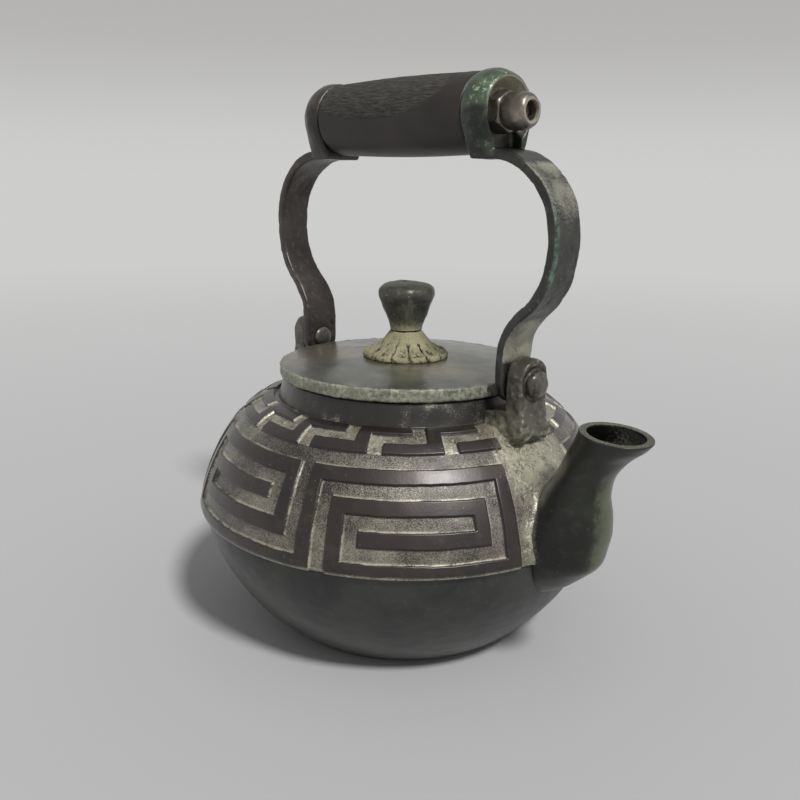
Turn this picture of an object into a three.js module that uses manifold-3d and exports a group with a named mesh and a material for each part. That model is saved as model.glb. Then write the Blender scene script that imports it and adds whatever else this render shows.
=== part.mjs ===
// Loop-handled teapot: a cast bronze pot with a squared-spiral relief, a lift-off lid with a rosette under
// its knob, and a swinging handle of two bent straps with a wooden grip between them.
// Millimetres, +Z up. The spout reaches out along +X and the origin is the middle of the flat base.

import * as THREE from "three";
import { mergeVertices } from "three/addons/utils/BufferGeometryUtils.js";
import Module from "manifold-3d";

const wasm = await Module();
wasm.setup();

const degree = Math.PI / 180;

// Fits
const gap = 0.3; // between pieces that touch
const sideClearance = 0.5; // between the swinging arm and the lug beside it
const cutThrough = 2; // how far a drill or cutter runs past the face it opens

// Pot walls
const baseRadius = 42.5;
const seamHeight = 44.4; // the joint of the lower bowl and the upper shell
const waistRadius = 74.3;
const seamStep = 2.5; // the shell's foot stands out this far over the bowl's rim
const bowlRimRadius = waistRadius - seamStep;
const shoulderRadius = 45.3;
const shoulderHeight = 83.9;
const wall = 2.5;
const lapHeight = 2.5; // the bowl's inner lip that stands up inside the shell
const lapThickness = 1.2;
const neckTaper = 1.8; // the neck draws in this much from the shoulder to its top
const neckTopRadius = shoulderRadius - neckTaper;
const neckHeight = 6.5;
const rimWidth = 4.3; // of the neck's flat top
const mouthRadius = neckTopRadius - rimWidth;

// How full the two walls are: 2 and 2 would be an ellipse, less is flatter
const shellFullnessOut = 2;
const shellFullnessUp = 1.4;
const bowlFullnessOut = 1.21;
const bowlFullnessUp = 1.68;

// Squared-spiral relief on the shell
const reliefDepth = 1; // from the top of a bar down to the ground
const fretUnit = 3.87; // degrees, the width of an upright bar and of the ground beside it
const fretHalfGap = 14.3; // degrees, plain wall on each side of the spout
const plainRing = 5.2; // between the two bands
const plainTop = 1.7; // between the small band and the neck
const bandRowHeight = 4.1;
const bandUnits = 15; // around the whole shoulder
const bandStart = -50.4; // degrees, where one lower bar begins
const lugMargin = 12.5; // degrees, no small bars on each side of a lug

// Spout, from a station under the waist to the lip
const spoutWall = 2.3;
const lipTilt = 5; // degrees, the mouth leans out
const channelRadius = 7.5;
const channelRise = 12.2; // of the channel's middle over the seam

// Handle pivots and the lugs that carry them
const pivotRise = 6.6; // over the neck's top
const pivotHeight = shoulderHeight + neckHeight + pivotRise;
const pinRadius = 2.6;
const innerHeadRadius = 3.9;
const innerHeadHeight = 1.6;
const outerHeadRadius = 4.4;
const outerHeadHeight = 2.6;
const lugThickness = 7;
const lugHalfWidth = 6.3;
const lugTopRise = 8; // over the pivot
const ledgeClearance = 1.2; // under the rounded end of the arm
const lugFootHalfWidth = 7.6;
const lugFootSplay = 1.6;

// Lid
const lidOverhang = 1.3; // past the neck's top
const lidRadius = neckTopRadius + lidOverhang;
const lidRimHeight = 4.3;
const lidDome = 2;
const lidWall = 2.6;
const rimRound = 0.9;
const flangeFit = 0.8; // between the locating flange and the mouth
const flangeWall = 2.4;
const flangeDepth = 6;

// Arms
const armThickness = 3.3;
const armEdge = 0.9; // softened corners of the strap
const lidClearance = 3.15; // from the lid's rim to the arm
const armInset = lidRadius + lidClearance + armThickness / 2; // to the middle of the strap at the pivot
const bowOut = 16.7; // the widest place of the bow stands out this far past the pivot
const bowReach = armInset + bowOut;
const armEndRadius = 7.3;
const bowHalfWidth = 6.3;
const heelHalfWidth = 7.2;

// Grip, its collars and what holds them
const gripHeight = 81.5; // of the grip's axis over the pivots
const gripHalfLength = 34.5;
const gripRadius = 13;
const gripEndRadius = 12.3;
const collarRadius = 12.8;
const heelSink = 1; // the strap's top face lies this far under the round of the collar
const collarLength = 9.3;
const collarLipRadius = 11;
const socketRadius = 10.6;
const socketDepth = 3.4;
const seatDepth = 4.4; // from the lip of the collar to the face that the nut sits on
const dishRadius = 10.1;
const seatRadius = 7.2;
const nicheHalfWidth = 6.3;
const rodRadius = 2.1;
const rodHeadRadius = 5;
const rodHeadHeight = 8.2;
const nutAcrossFlats = 11.5;
const nutThickness = 4.5;
const nutChamfer = 0.8;
const capRadius = 5.6;
const capChamfer = 0.5;
const capEndRadius = 3.5;
const capLength = 8;
const capStraight = 4.2;
const rodShortfall = 3; // the rod ends this far inside the cap nut's open end

// Rosette, knob and stud
const petals = 14;
const rosetteRadius = 15;
const petalThickness = 2;
const grooveDepth = 0.9;
const scallop = 1.1;
const rosetteHeight = 9;
const knobNeckRadius = 5.6;
const knobNeckFlare = 0.4;
const knobNeckHeight = 2;
const knobRadius = 10;
const knobWidest = 12.7; // over the knob's foot
const taperTop = 10.1; // where the knob's straight taper ends
const taperRadius = 9.3;
const knobHeight = 17;
const airHoleRadius = 1.25;
const airHoleDepth = 5;
const studRadius = 2.1;
const studReach = 8; // up into the knob
const washerRadius = 6;
const washerThickness = 1.5;
const studTail = 1.2;
const studTailRadius = 3.2;

// Facets
const bodySegments = 60;
const lidSegments = 48;
const smallSegments = 20;
const widestColumn = 5.9; // degrees, of the relief

// Solids

// Closed surface as a solid with its faces turned outwards
function solid(geometry) {
  geometry.deleteAttribute("normal");
  geometry.deleteAttribute("uv");
  const merged = mergeVertices(geometry, 1e-4);
  const index = merged.index.array;
  const corners = [];
  for (let i = 0; i < index.length; i += 3) {
    const [a, b, c] = index.slice(i, i + 3);
    if (a !== b && b !== c && c !== a) corners.push(a, b, c);
  }
  const vertProperties = merged.attributes.position.array;
  const build = (order) =>
    new wasm.Manifold(new wasm.Mesh({ numProp: 3, vertProperties, triVerts: new Uint32Array(order) }));
  const made = build(corners);
  return made.volume() > 0 ? made : build(corners.reverse());
}

function mesh(name, made, material) {
  const result = made.getMesh();
  const geometry = new THREE.BufferGeometry();
  geometry.setAttribute("position", new THREE.BufferAttribute(result.vertProperties, 3));
  geometry.setIndex(new THREE.BufferAttribute(result.triVerts, 1));
  geometry.computeVertexNormals();
  const object = new THREE.Mesh(geometry, material);
  object.name = name;
  return object;
}

// Outline of [radius, height] turned about the Z axis
function turned(outline, segments) {
  const points = outline.map(([radius, height]) => new THREE.Vector2(radius, height));
  return solid(new THREE.LatheGeometry(points, segments).rotateX(Math.PI / 2));
}

// Outline of [radius, x] turned about a line along X at a height
function turnedAlongX(outline, height, segments = smallSegments) {
  const points = outline.map(([radius, x]) => new THREE.Vector2(radius, x));
  const geometry = new THREE.LatheGeometry(points, segments);
  return solid(geometry.rotateZ(-Math.PI / 2).translate(0, 0, height));
}

const closed = (outline) => [...outline, outline[0]];

function rodAlongX(radius, from, to, height, segments = smallSegments) {
  return turnedAlongX([[0, from], [radius, from], [radius, to], [0, to]], height, segments);
}

// Shape of (y, z) pushed along X
function pushedAlongX(shape, from, to, curveSegments = 10) {
  const geometry = new THREE.ExtrudeGeometry(shape, { depth: to - from, bevelEnabled: false, curveSegments });
  const turn = new THREE.Matrix4().set(0, 0, 1, from, 1, 0, 0, 0, 0, 1, 0, 0, 0, 0, 0, 1);
  return solid(geometry.applyMatrix4(turn));
}

// Shape of (x, z) pushed along Y, evenly to both sides
function pushedAlongY(shape, halfDepth) {
  const geometry = new THREE.ExtrudeGeometry(shape, { depth: 2 * halfDepth, bevelEnabled: false });
  return solid(geometry.translate(0, 0, -halfDepth).rotateX(Math.PI / 2));
}

function shapeOf(points) {
  return new THREE.Shape(points.map(([x, y]) => new THREE.Vector2(x, y)));
}

// Skin over a row of rings with the same number of points, closed at both ends
function loft(rings) {
  const around = rings[0].length;
  const last = rings.length - 1;
  const points = rings.flat();
  const ends = points.length;
  for (const ring of [rings[0], rings[last]]) {
    const middle = ring.reduce((sum, point) => sum.add(point), new THREE.Vector3());
    points.push(middle.divideScalar(around));
  }
  const corner = (ring, k) => ring * around + (k % around);
  const index = [];
  for (let k = 0; k < around; k++) {
    for (let ring = 0; ring < last; ring++) {
      index.push(corner(ring, k), corner(ring, k + 1), corner(ring + 1, k + 1));
      index.push(corner(ring, k), corner(ring + 1, k + 1), corner(ring + 1, k));
    }
    index.push(ends, corner(0, k + 1), corner(0, k));
    index.push(ends + 1, corner(last, k), corner(last, k + 1));
  }
  return solid(new THREE.BufferGeometry().setFromPoints(points).setIndex(index));
}

// Quarter of an ellipse from the axis out to a rim, as an outline: a low dome on a round head
function dome(radius, from, rise, steps = 5) {
  return Array.from({ length: steps + 1 }, (_, i) => {
    const angle = (i / steps) * 90 * degree;
    return [radius * Math.sin(angle), from + rise * Math.cos(angle)];
  });
}

const mirrored = (made) => made.mirror([1, 0, 0]);

// Pot walls

// Outline of a wall from its wide edge at the waist to its narrow edge, with both fullnesses
function wallCurve(wide, narrow, rise, fullnessOut, fullnessUp) {
  const samples = Array.from({ length: 61 }, (_, i) => {
    const angle = (i / 60) * 90 * degree;
    const radius = narrow + (wide - narrow) * Math.cos(angle) ** (2 / fullnessOut);
    return new THREE.Vector2(radius, seamHeight + rise * Math.sin(angle) ** (2 / fullnessUp));
  });
  return new THREE.SplineCurve(samples);
}

const shellRise = shoulderHeight - seamHeight;
const shellCurve = wallCurve(waistRadius, shoulderRadius, shellRise, shellFullnessOut, shellFullnessUp);
const bowlCurve = wallCurve(bowlRimRadius, baseRadius, gap - seamHeight, bowlFullnessOut, bowlFullnessUp);
const shellLength = shellCurve.getLength();

// Point at a share of a wall's outline, moved out by rise; up is 1 for the shell and -1 for the bowl
function offWall(curve, share, rise, up) {
  const point = curve.getPointAt(share);
  const along = curve.getTangentAt(share);
  return [point.x + up * rise * along.y, point.y - up * rise * along.x];
}

function wallOutline(curve, steps, rise, up) {
  return Array.from({ length: steps + 1 }, (_, i) => offWall(curve, i / steps, rise, up));
}

const lowered = ([radius, height]) => [radius, height - gap];

// Everything inside the pot's plain outer face, grown by the gap, as the cutter for what sits on it
function potCutter() {
  const shell = wallOutline(shellCurve, 16, gap - reliefDepth, 1);
  const bowl = wallOutline(bowlCurve, 12, gap, -1).map(lowered).reverse();
  const neckTop = shoulderHeight + neckHeight + cutThrough;
  return turned([
    [0, -cutThrough],
    ...bowl,
    lowered(shell[0]),
    ...shell,
    [shoulderRadius + gap, shoulderHeight - reliefDepth],
    [neckTopRadius + gap, shoulderHeight + neckHeight],
    [neckTopRadius + gap, neckTop],
    [0, neckTop],
  ], 2 * bodySegments);
}

function makeLowerBowl() {
  const rim = seamHeight - gap;
  const lapRadius = waistRadius - reliefDepth - wall - gap;
  const [lapTopRadius, lapTop] = offWall(shellCurve, lapHeight / shellLength, -reliefDepth - wall - gap, 1);
  const outer = wallOutline(bowlCurve, 8, 0, -1).map(lowered);
  const inner = wallOutline(bowlCurve, 6, -wall, -1).map(lowered).slice(1, -1);
  return turned([
    [0, 0],
    [baseRadius, 0],
    ...outer.slice(1, -1).reverse(),
    [bowlRimRadius, rim],
    [lapRadius, rim],
    [lapTopRadius, lapTop],
    [lapTopRadius - lapThickness, lapTop],
    [bowlRimRadius - wall, rim - lapHeight],
    ...inner.filter(([, height]) => height > wall),
    [baseRadius - wall, wall],
    [0, wall],
  ], bodySegments);
}

// Rows of the patterns, top row first: # is a raised bar and . is ground

// Spiral panel of the big band; its fourth column is the wide middle
const spiralPanel = [
  "######",
  "......",
  ".####.",
  ".#..#.",
  ".#.##.",
  ".#....",
  ".#####",
];
const panelPairs = 3;

// One unit of the small band: a lower bar, a link at its end and the upper bar that starts at the link
const linkUnit = [
  "##.##",
  "...#.",
  "####.",
];

// The big band fills what the plain strips and the small band leave of the shell's outline
const smallBandHeight = linkUnit.length * bandRowHeight;
const bigBandHeight = shellLength - plainTop - smallBandHeight - plainRing;
const fretRowHeight = bigBandHeight / spiralPanel.length;

// Columns of a band, from one angle all the way round; each has a width in degrees and a sign for each row
function bandOf(start, top, rowHeight, columns) {
  const band = { angles: [], signs: [], distances: [] };
  let angle = start;
  for (const { width, signs } of columns) {
    const steps = Math.ceil(width / widestColumn);
    for (let i = 0; i < steps; i++) {
      band.angles.push(angle);
      band.signs.push(signs);
      angle += width / steps;
    }
  }
  for (let row = 0; row <= columns[0].signs.length; row++) band.distances.push(top - row * rowHeight);
  return band;
}

// Big band: pairs of panels round the waist, the second of each pair turned half round, with upright bars
// at their sides and between them and a strip of ground between the pairs. The wall by the spout is plain.
function spiralBand() {
  const rows = spiralPanel.length;
  const unitsPerPair = 2 * (spiralPanel[0].length - 1) + 3;
  const plainUnits = panelPairs * unitsPerPair + panelPairs - 1;
  const middle = (360 - 2 * fretHalfGap - plainUnits * fretUnit) / (2 * panelPairs);
  const column = (width, sign) => ({ width, signs: sign.repeat(rows) });
  const panel = [fretUnit, fretUnit, fretUnit, middle, fretUnit, fretUnit].map((width, k) =>
    ({ width, signs: spiralPanel.map((row) => row[k]).join("") }));
  const turnedPanel = panel.map(({ width, signs }) => ({ width, signs: [...signs].reverse().join("") })).reverse();
  const upright = column(fretUnit, "#");
  const pair = [upright, ...turnedPanel, upright, ...panel, upright];
  const columns = [...pair];
  for (let i = 1; i < panelPairs; i++) columns.push(column(fretUnit, "."), ...pair);
  columns.push(column(2 * fretHalfGap, "."));
  return bandOf(fretHalfGap, bigBandHeight, fretRowHeight, columns);
}

// Small band on the shoulder, left plain where the lugs stand
function shoulderBand() {
  const perUnit = linkUnit[0].length;
  const width = 360 / (bandUnits * perUnit);
  const columns = Array.from({ length: bandUnits * perUnit }, (_, i) => {
    const middle = bandStart + (i + 0.5) * width;
    const fromLug = Math.abs(Math.abs((middle + 360) % 180 - 90) - 90);
    const signs = linkUnit.map((row) => (fromLug > lugMargin ? row[i % perUnit] : ".")).join("");
    return { width, signs };
  });
  return bandOf(bandStart, shellLength - plainTop, bandRowHeight, columns);
}

// The shell's outer skin, closed by flat fans inside. It climbs from ring to ring: the big band, the small
// band, the shoulder and the neck. A ring is a list of { angle, at }, where at is the number of a point.
function shellSkin() {
  const points = [];
  const index = [];
  const face = (a, b, c, d) => index.push(a, b, c, a, c, d);
  const place = (radius, angle, height) => {
    const turn = angle * degree;
    return points.push(new THREE.Vector3(radius * Math.cos(turn), radius * Math.sin(turn), height)) - 1;
  };
  const sorted = (ring) => ring
    .map(({ angle, at }) => ({ angle: (angle + 360) % 360, at }))
    .sort((one, other) => one.angle - other.angle);

  // Lattice of cells at two heights, with upright walls where a bar ends
  const addBand = ({ angles, signs, distances }) => {
    const around = angles.length;
    const levels = [-reliefDepth, 0].map((rise) => distances.map((distance) => {
      const [radius, height] = offWall(shellCurve, distance / shellLength, rise, 1);
      return angles.map((angle) => place(radius, angle, height));
    }));
    const raised = (i, row) => signs[(i + around) % around][row] === "#";
    for (let i = 0; i < around; i++) {
      const next = (i + 1) % around;
      for (let row = 0; row < distances.length - 1; row++) {
        const corners = [[row + 1, i], [row + 1, next], [row, next], [row, i]];
        const level = levels[raised(i, row) ? 1 : 0];
        face(...corners.map(([line, column]) => level[line][column]));
        if (!raised(i, row)) continue;
        const beside = [[i, row + 1], [i + 1, row], [i, row - 1], [i - 1, row]];
        beside.forEach(([column, line], side) => {
          if (raised(column, line)) return;
          const [a, b] = [corners[side], corners[(side + 1) % 4]];
          face(levels[1][b[0]][b[1]], levels[1][a[0]][a[1]], levels[0][a[0]][a[1]], levels[0][b[0]][b[1]]);
        });
      }
    }
    const ring = (line) => sorted(angles.map((angle, i) => ({ angle, at: levels[0][line][i] })));
    return { top: ring(0), bottom: ring(distances.length - 1) };
  };
  const plainRingAt = (radius, height) => Array.from({ length: bodySegments }, (_, i) => {
    const angle = (i / bodySegments) * 360;
    return { angle, at: place(radius, angle, height) };
  });

  // Strip of triangles between two rings whose points stand at different angles
  const zip = (lower, upper) => {
    let i = 0;
    let j = 0;
    const angleOf = (ring, k) => (k < ring.length ? ring[k].angle : ring[0].angle + 360);
    while (i < lower.length || j < upper.length) {
      const low = lower[i % lower.length].at;
      const high = upper[j % upper.length].at;
      const stepLower = j === upper.length || (i < lower.length && angleOf(lower, i + 1) <= angleOf(upper, j + 1));
      if (stepLower) index.push(low, lower[++i % lower.length].at, high);
      else index.push(low, upper[++j % upper.length].at, high);
    }
  };
  const fan = (ring, height, down) => {
    const centre = place(0, 0, height);
    ring.forEach(({ at }, k) => {
      const after = ring[(k + 1) % ring.length].at;
      index.push(centre, ...(down ? [after, at] : [at, after]));
    });
  };

  const big = addBand(spiralBand());
  const small = addBand(shoulderBand());
  const shoulder = plainRingAt(shoulderRadius, shoulderHeight - reliefDepth);
  const neckTop = plainRingAt(neckTopRadius, shoulderHeight + neckHeight);
  fan(big.bottom, seamHeight, true);
  zip(big.top, small.bottom);
  zip(small.top, shoulder);
  zip(shoulder, neckTop);
  fan(neckTop, shoulderHeight + neckHeight, false);
  return solid(new THREE.BufferGeometry().setFromPoints(points).setIndex(index));
}

function makeUpperShell() {
  const inner = wallOutline(shellCurve, 8, -reliefDepth - wall, 1).filter(([radius]) => radius > mouthRadius);
  const top = shoulderHeight + neckHeight + cutThrough;
  const cavity = turned([
    [0, seamHeight - cutThrough],
    [inner[0][0], seamHeight - cutThrough],
    ...inner,
    [mouthRadius, inner.at(-1)[1]],
    [mouthRadius, top],
    [0, top],
  ], bodySegments);
  const channelHeight = seamHeight + channelRise;
  const channel = rodAlongX(channelRadius, waistRadius / 2, waistRadius + cutThrough, channelHeight);
  return shellSkin().subtract(cavity).subtract(channel);
}

// Spout

// Level sections: height over the seam, middle from the waist, half length along X and half width along Y
const spoutStations = [
  [-14.4, -13.4, 7, 6.5],
  [-10.4, -8.9, 9.4, 8.4],
  [-5.4, -6.5, 13.1, 11.2],
  [0.6, -4.3, 16.2, 13.1],
  [7.6, -2.3, 15.8, 13.7],
  [15.6, 1.4, 12.6, 11],
  [22.6, 2.6, 10.3, 9.5],
  [29.6, 5.8, 8.7, 8.9],
  [35.6, 9.4, 9.4, 9.2],
  [40.4, 13.4, 10.9, 10],
  [43.2, 14.7, 11.1, 10.5],
];

// The sections from one share of the spout's height to another, drawn in by a wall, as a solid
function spoutBody(from, to, inset, overshoot = 0) {
  const middles = new THREE.CatmullRomCurve3(spoutStations.map(([rise, x]) => new THREE.Vector3(x, 0, rise)));
  const halves = new THREE.CatmullRomCurve3(spoutStations.map(([, , long, wide]) => new THREE.Vector3(long, wide, 0)));
  const steps = 14;
  const rings = [];
  const addRing = (share, lift) => {
    const middle = middles.getPoint(share);
    const half = halves.getPoint(share);
    const lean = Math.tan(lipTilt * degree) * share ** 6;
    const ring = Array.from({ length: smallSegments }, (_, k) => {
      const angle = (k / smallSegments) * 360 * degree;
      const x = (half.x - inset) * Math.cos(angle);
      const y = (half.y - inset) * Math.sin(angle);
      return new THREE.Vector3(waistRadius + middle.x + x, y, seamHeight + middle.z + lift - lean * x);
    });
    rings.push(ring);
  };
  for (let i = 0; i <= steps; i++) addRing(from + (i / steps) * (to - from), 0);
  if (overshoot > 0) addRing(to, overshoot);
  return loft(rings);
}

function makeSpout() {
  const boreStart = 0.16; // share of the height where the hollow begins, over the bottom of the bulge
  const bore = spoutBody(boreStart, 1, spoutWall, cutThrough);
  return spoutBody(0, 1, 0).subtract(potCutter()).subtract(bore);
}

// Lugs and pins

const armInner = armInset - armThickness / 2;
const armOuter = armInset + armThickness / 2;
const lugInner = armOuter + sideClearance;
const lugOuter = lugInner + lugThickness;

function makeLug() {
  const ledge = pivotHeight - armEndRadius - ledgeClearance;
  const top = pivotHeight + lugTopRise;
  const toe = offWall(shellCurve, (bigBandHeight + plainRing) / shellLength, gap, 1)[1] + gap;
  const side = shapeOf([
    [shoulderRadius - wall, toe],
    [shoulderRadius - wall, ledge],
    [lugInner, ledge],
    [lugInner, top],
    [lugOuter, top],
    [lugOuter, ledge],
    [lugOuter + lugFootSplay, toe],
  ]);
  const front = new THREE.Shape();
  const topCentre = top - lugHalfWidth;
  front.moveTo(-lugFootHalfWidth, toe);
  front.quadraticCurveTo(-lugHalfWidth, shoulderHeight - wall, -lugHalfWidth, ledge);
  front.lineTo(-lugHalfWidth, topCentre);
  front.absarc(0, topCentre, lugHalfWidth, Math.PI, 0, true);
  front.lineTo(lugHalfWidth, ledge);
  front.quadraticCurveTo(lugHalfWidth, shoulderHeight - wall, lugFootHalfWidth, toe);
  const hole = rodAlongX(pinRadius + gap, shoulderRadius, lugOuter + cutThrough, pivotHeight);
  return pushedAlongX(front, shoulderRadius - 2 * wall, lugOuter + 2 * lugFootSplay, 8)
    .intersect(pushedAlongY(side, 2 * lugFootHalfWidth))
    .subtract(potCutter())
    .subtract(hole);
}

// Riveted pin through the arm and the lug, with a low domed head inside and a taller one outside
function makePin() {
  const inner = armInner - gap;
  const outer = lugOuter + gap;
  return turnedAlongX([
    ...dome(innerHeadRadius, inner, -innerHeadHeight),
    [pinRadius, inner],
    [pinRadius, outer],
    ...dome(outerHeadRadius, outer, outerHeadHeight).reverse(),
  ], pivotHeight);
}

// Handle, measured from the line through the two pivots

const collarInner = gripHalfLength;
const collarOuter = gripHalfLength + collarLength;
const seatX = collarOuter - seatDepth;
const heelHeight = gripHeight - collarRadius + armThickness / 2 - heelSink;

// The strap's middle line: share of the way out from the pivot to the bow, and share of the heel's height
const armBend = [
  [0, 0], [0, 0.11], [0.07, 0.205], [0.32, 0.293], [0.65, 0.37], [0.88, 0.46], [0.995, 0.58],
  [1, 0.68], [0.92, 0.772], [0.735, 0.855], [0.44, 0.925], [0.05, 0.98],
];

// Flat bar section with softened edges, across a line that runs in the XZ plane
function strapRing(middle, along, halfWidth) {
  const half = armThickness / 2;
  const soft = Math.min(armEdge, halfWidth / 2);
  const out = new THREE.Vector3(along.z, 0, -along.x);
  const section = [
    [half - soft, halfWidth], [half, halfWidth - soft], [half, soft - halfWidth], [half - soft, -halfWidth],
    [soft - half, -halfWidth], [-half, soft - halfWidth], [-half, halfWidth - soft], [soft - half, halfWidth],
  ];
  return section.map(([across, y]) => middle.clone().addScaledVector(out, across).setY(y));
}

// Strap from the rounded end under the pivot, out over the bow and in under the collar
function makeStrap() {
  const rings = [];
  const up = new THREE.Vector3(0, 0, 1);
  for (let i = 5; i > 0; i--) {
    const angle = i * 16 * degree;
    const middle = new THREE.Vector3(armInset, 0, -armEndRadius * Math.sin(angle));
    rings.push(strapRing(middle, up, armEndRadius * Math.cos(angle)));
  }
  const bend = armBend.map(([out, rise]) =>
    new THREE.Vector3(armInset + out * (bowReach - armInset), 0, rise * heelHeight));
  bend.push(new THREE.Vector3(collarOuter, 0, heelHeight));
  bend.push(new THREE.Vector3(collarInner + armThickness, 0, heelHeight));
  const line = new THREE.CatmullRomCurve3(bend);
  const steps = 24;
  for (let i = 0; i <= steps; i++) {
    const share = i / steps;
    const ends = share < 0.5 ? armEndRadius : heelHalfWidth;
    const halfWidth = bowHalfWidth + (ends - bowHalfWidth) * Math.cos(share * Math.PI) ** 2;
    rings.push(strapRing(line.getPointAt(share), line.getTangentAt(share), halfWidth));
  }
  return loft(rings);
}

// Collar section at x: a round top that narrows straight down to the strap's width
function collarRing(x, radius) {
  const foot = heelHeight - armThickness / 2;
  const steps = 16;
  const lean = 25 * degree;
  const ring = Array.from({ length: steps + 1 }, (_, k) => {
    const angle = -lean + (k / steps) * (Math.PI + 2 * lean);
    return new THREE.Vector3(x, radius * Math.cos(angle), gripHeight + radius * Math.sin(angle));
  });
  ring.push(new THREE.Vector3(x, -heelHalfWidth, foot), new THREE.Vector3(x, heelHalfWidth, foot));
  return ring;
}

function makeArm() {
  const collar = loft([
    collarRing(collarInner, gripEndRadius),
    collarRing(collarInner + 0.25 * collarLength, collarRadius),
    collarRing(collarInner + 0.5 * collarLength, collarRadius),
    collarRing(collarInner + 0.75 * collarLength, (2 * collarRadius + collarLipRadius) / 3),
    collarRing(collarInner + 0.93 * collarLength, (collarRadius + 2 * collarLipRadius) / 3),
    collarRing(collarOuter, collarLipRadius),
  ]);
  const socket = rodAlongX(socketRadius, collarInner - cutThrough, collarInner + socketDepth, gripHeight, 28);
  const dish = turnedAlongX([
    [0, seatX],
    [seatRadius, seatX],
    [dishRadius, collarOuter],
    [dishRadius, collarOuter + cutThrough],
    [0, collarOuter + cutThrough],
  ], gripHeight, 28);
  const nicheFloor = heelHeight + armThickness / 2;
  const niche = pushedAlongX(shapeOf([
    [-nicheHalfWidth, nicheFloor],
    [nicheHalfWidth, nicheFloor],
    [nicheHalfWidth, gripHeight],
    [-nicheHalfWidth, gripHeight],
  ]), seatX, collarOuter + cutThrough);
  const rodHole = rodAlongX(rodRadius + gap, collarInner, collarOuter, gripHeight);
  const pinHole = rodAlongX(pinRadius + gap, armInner - cutThrough, armOuter + cutThrough, 0);
  return collar.add(makeStrap()).subtract(socket).subtract(dish).subtract(niche).subtract(rodHole).subtract(pinHole);
}

function makeGrip() {
  const end = gripHalfLength - gap;
  const tenonEnd = gripHalfLength + socketDepth - gap;
  const tenon = socketRadius - gap;
  const bore = rodRadius + gap;
  const steps = 8;
  const barrel = Array.from({ length: steps + 1 }, (_, i) => {
    const x = end * (2 * (i / steps) - 1);
    return [gripEndRadius + (gripRadius - gripEndRadius) * Math.cos((x / end) * 90 * degree), x];
  });
  return turnedAlongX(closed([
    [bore, -tenonEnd],
    [tenon, -tenonEnd],
    [tenon, -end],
    ...barrel,
    [tenon, end],
    [tenon, tenonEnd],
    [bore, tenonEnd],
  ]), gripHeight, 28);
}

// Rod through the grip, with a domed head in the rear collar and its plain end inside the cap nut
function makeTieRod() {
  const headFace = gap + seatX;
  const nutFace = seatX + gap + nutThickness;
  const end = nutFace + gap + capLength - rodShortfall;
  return turnedAlongX([
    ...dome(rodHeadRadius, -headFace - rodHeadHeight / 2, -rodHeadHeight / 2),
    [rodHeadRadius, -headFace],
    [rodRadius, -headFace],
    [rodRadius, end],
    [0, end],
  ], gripHeight);
}

function makeHexNut() {
  const corner = nutAcrossFlats / Math.sqrt(3);
  const hexagon = shapeOf(Array.from({ length: 6 }, (_, k) => {
    const angle = (90 + 60 * k) * degree;
    return [corner * Math.cos(angle), gripHeight + corner * Math.sin(angle)];
  }));
  const from = seatX + gap;
  const to = from + nutThickness;
  const roundEnds = turnedAlongX([
    [0, from],
    [corner, from],
    [corner, to - nutChamfer],
    [corner - 1.6 * nutChamfer, to],
    [0, to],
  ], gripHeight);
  const bore = rodAlongX(rodRadius + gap, from - cutThrough, to + cutThrough, gripHeight);
  return pushedAlongX(hexagon, from, to).intersect(roundEnds).subtract(bore);
}

function makeCapNut() {
  const from = seatX + gap + nutThickness + gap;
  const bore = rodRadius + gap;
  const steps = 5;
  const nose = Array.from({ length: steps + 1 }, (_, i) => {
    const angle = (i / steps) * 90 * degree;
    const radius = capEndRadius + (capRadius - capEndRadius) * Math.cos(angle);
    return [radius, from + capStraight + (capLength - capStraight) * Math.sin(angle)];
  });
  return turnedAlongX(closed([
    [bore, from],
    [capRadius - capChamfer, from],
    [capRadius, from + capChamfer],
    ...nose,
    [bore, from + capLength],
  ]), gripHeight);
}

// Lid, measured from its underside on the neck

// Height of the lid's top at a radius
const lidTop = (radius) => lidRimHeight + lidDome * (1 - (radius / lidRadius) ** 2);

function makeLidPlate() {
  const hole = studRadius + gap;
  const flangeOuter = mouthRadius - flangeFit;
  const flangeInner = flangeOuter - flangeWall;
  const shares = [0.33, 0.62, 0.85];
  const across = [hole, ...shares.map((share) => share * lidRadius), lidRadius - rimRound];
  const top = across.map((radius) => [radius, lidTop(radius)]);
  const ceilingEdge = flangeInner - lidWall;
  const ceiling = [ceilingEdge, ceilingEdge / 2, hole].map((radius) => [radius, lidTop(radius) - lidWall]);
  return turned(closed([
    ...top,
    [lidRadius - 0.3 * rimRound, lidTop(lidRadius) - 0.3 * rimRound],
    [lidRadius, lidTop(lidRadius) - rimRound],
    [lidRadius, rimRound],
    [lidRadius - rimRound, 0],
    [flangeOuter, 0],
    [flangeOuter, -flangeDepth],
    [flangeInner, -flangeDepth],
    ...ceiling,
  ]), lidSegments);
}

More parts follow.
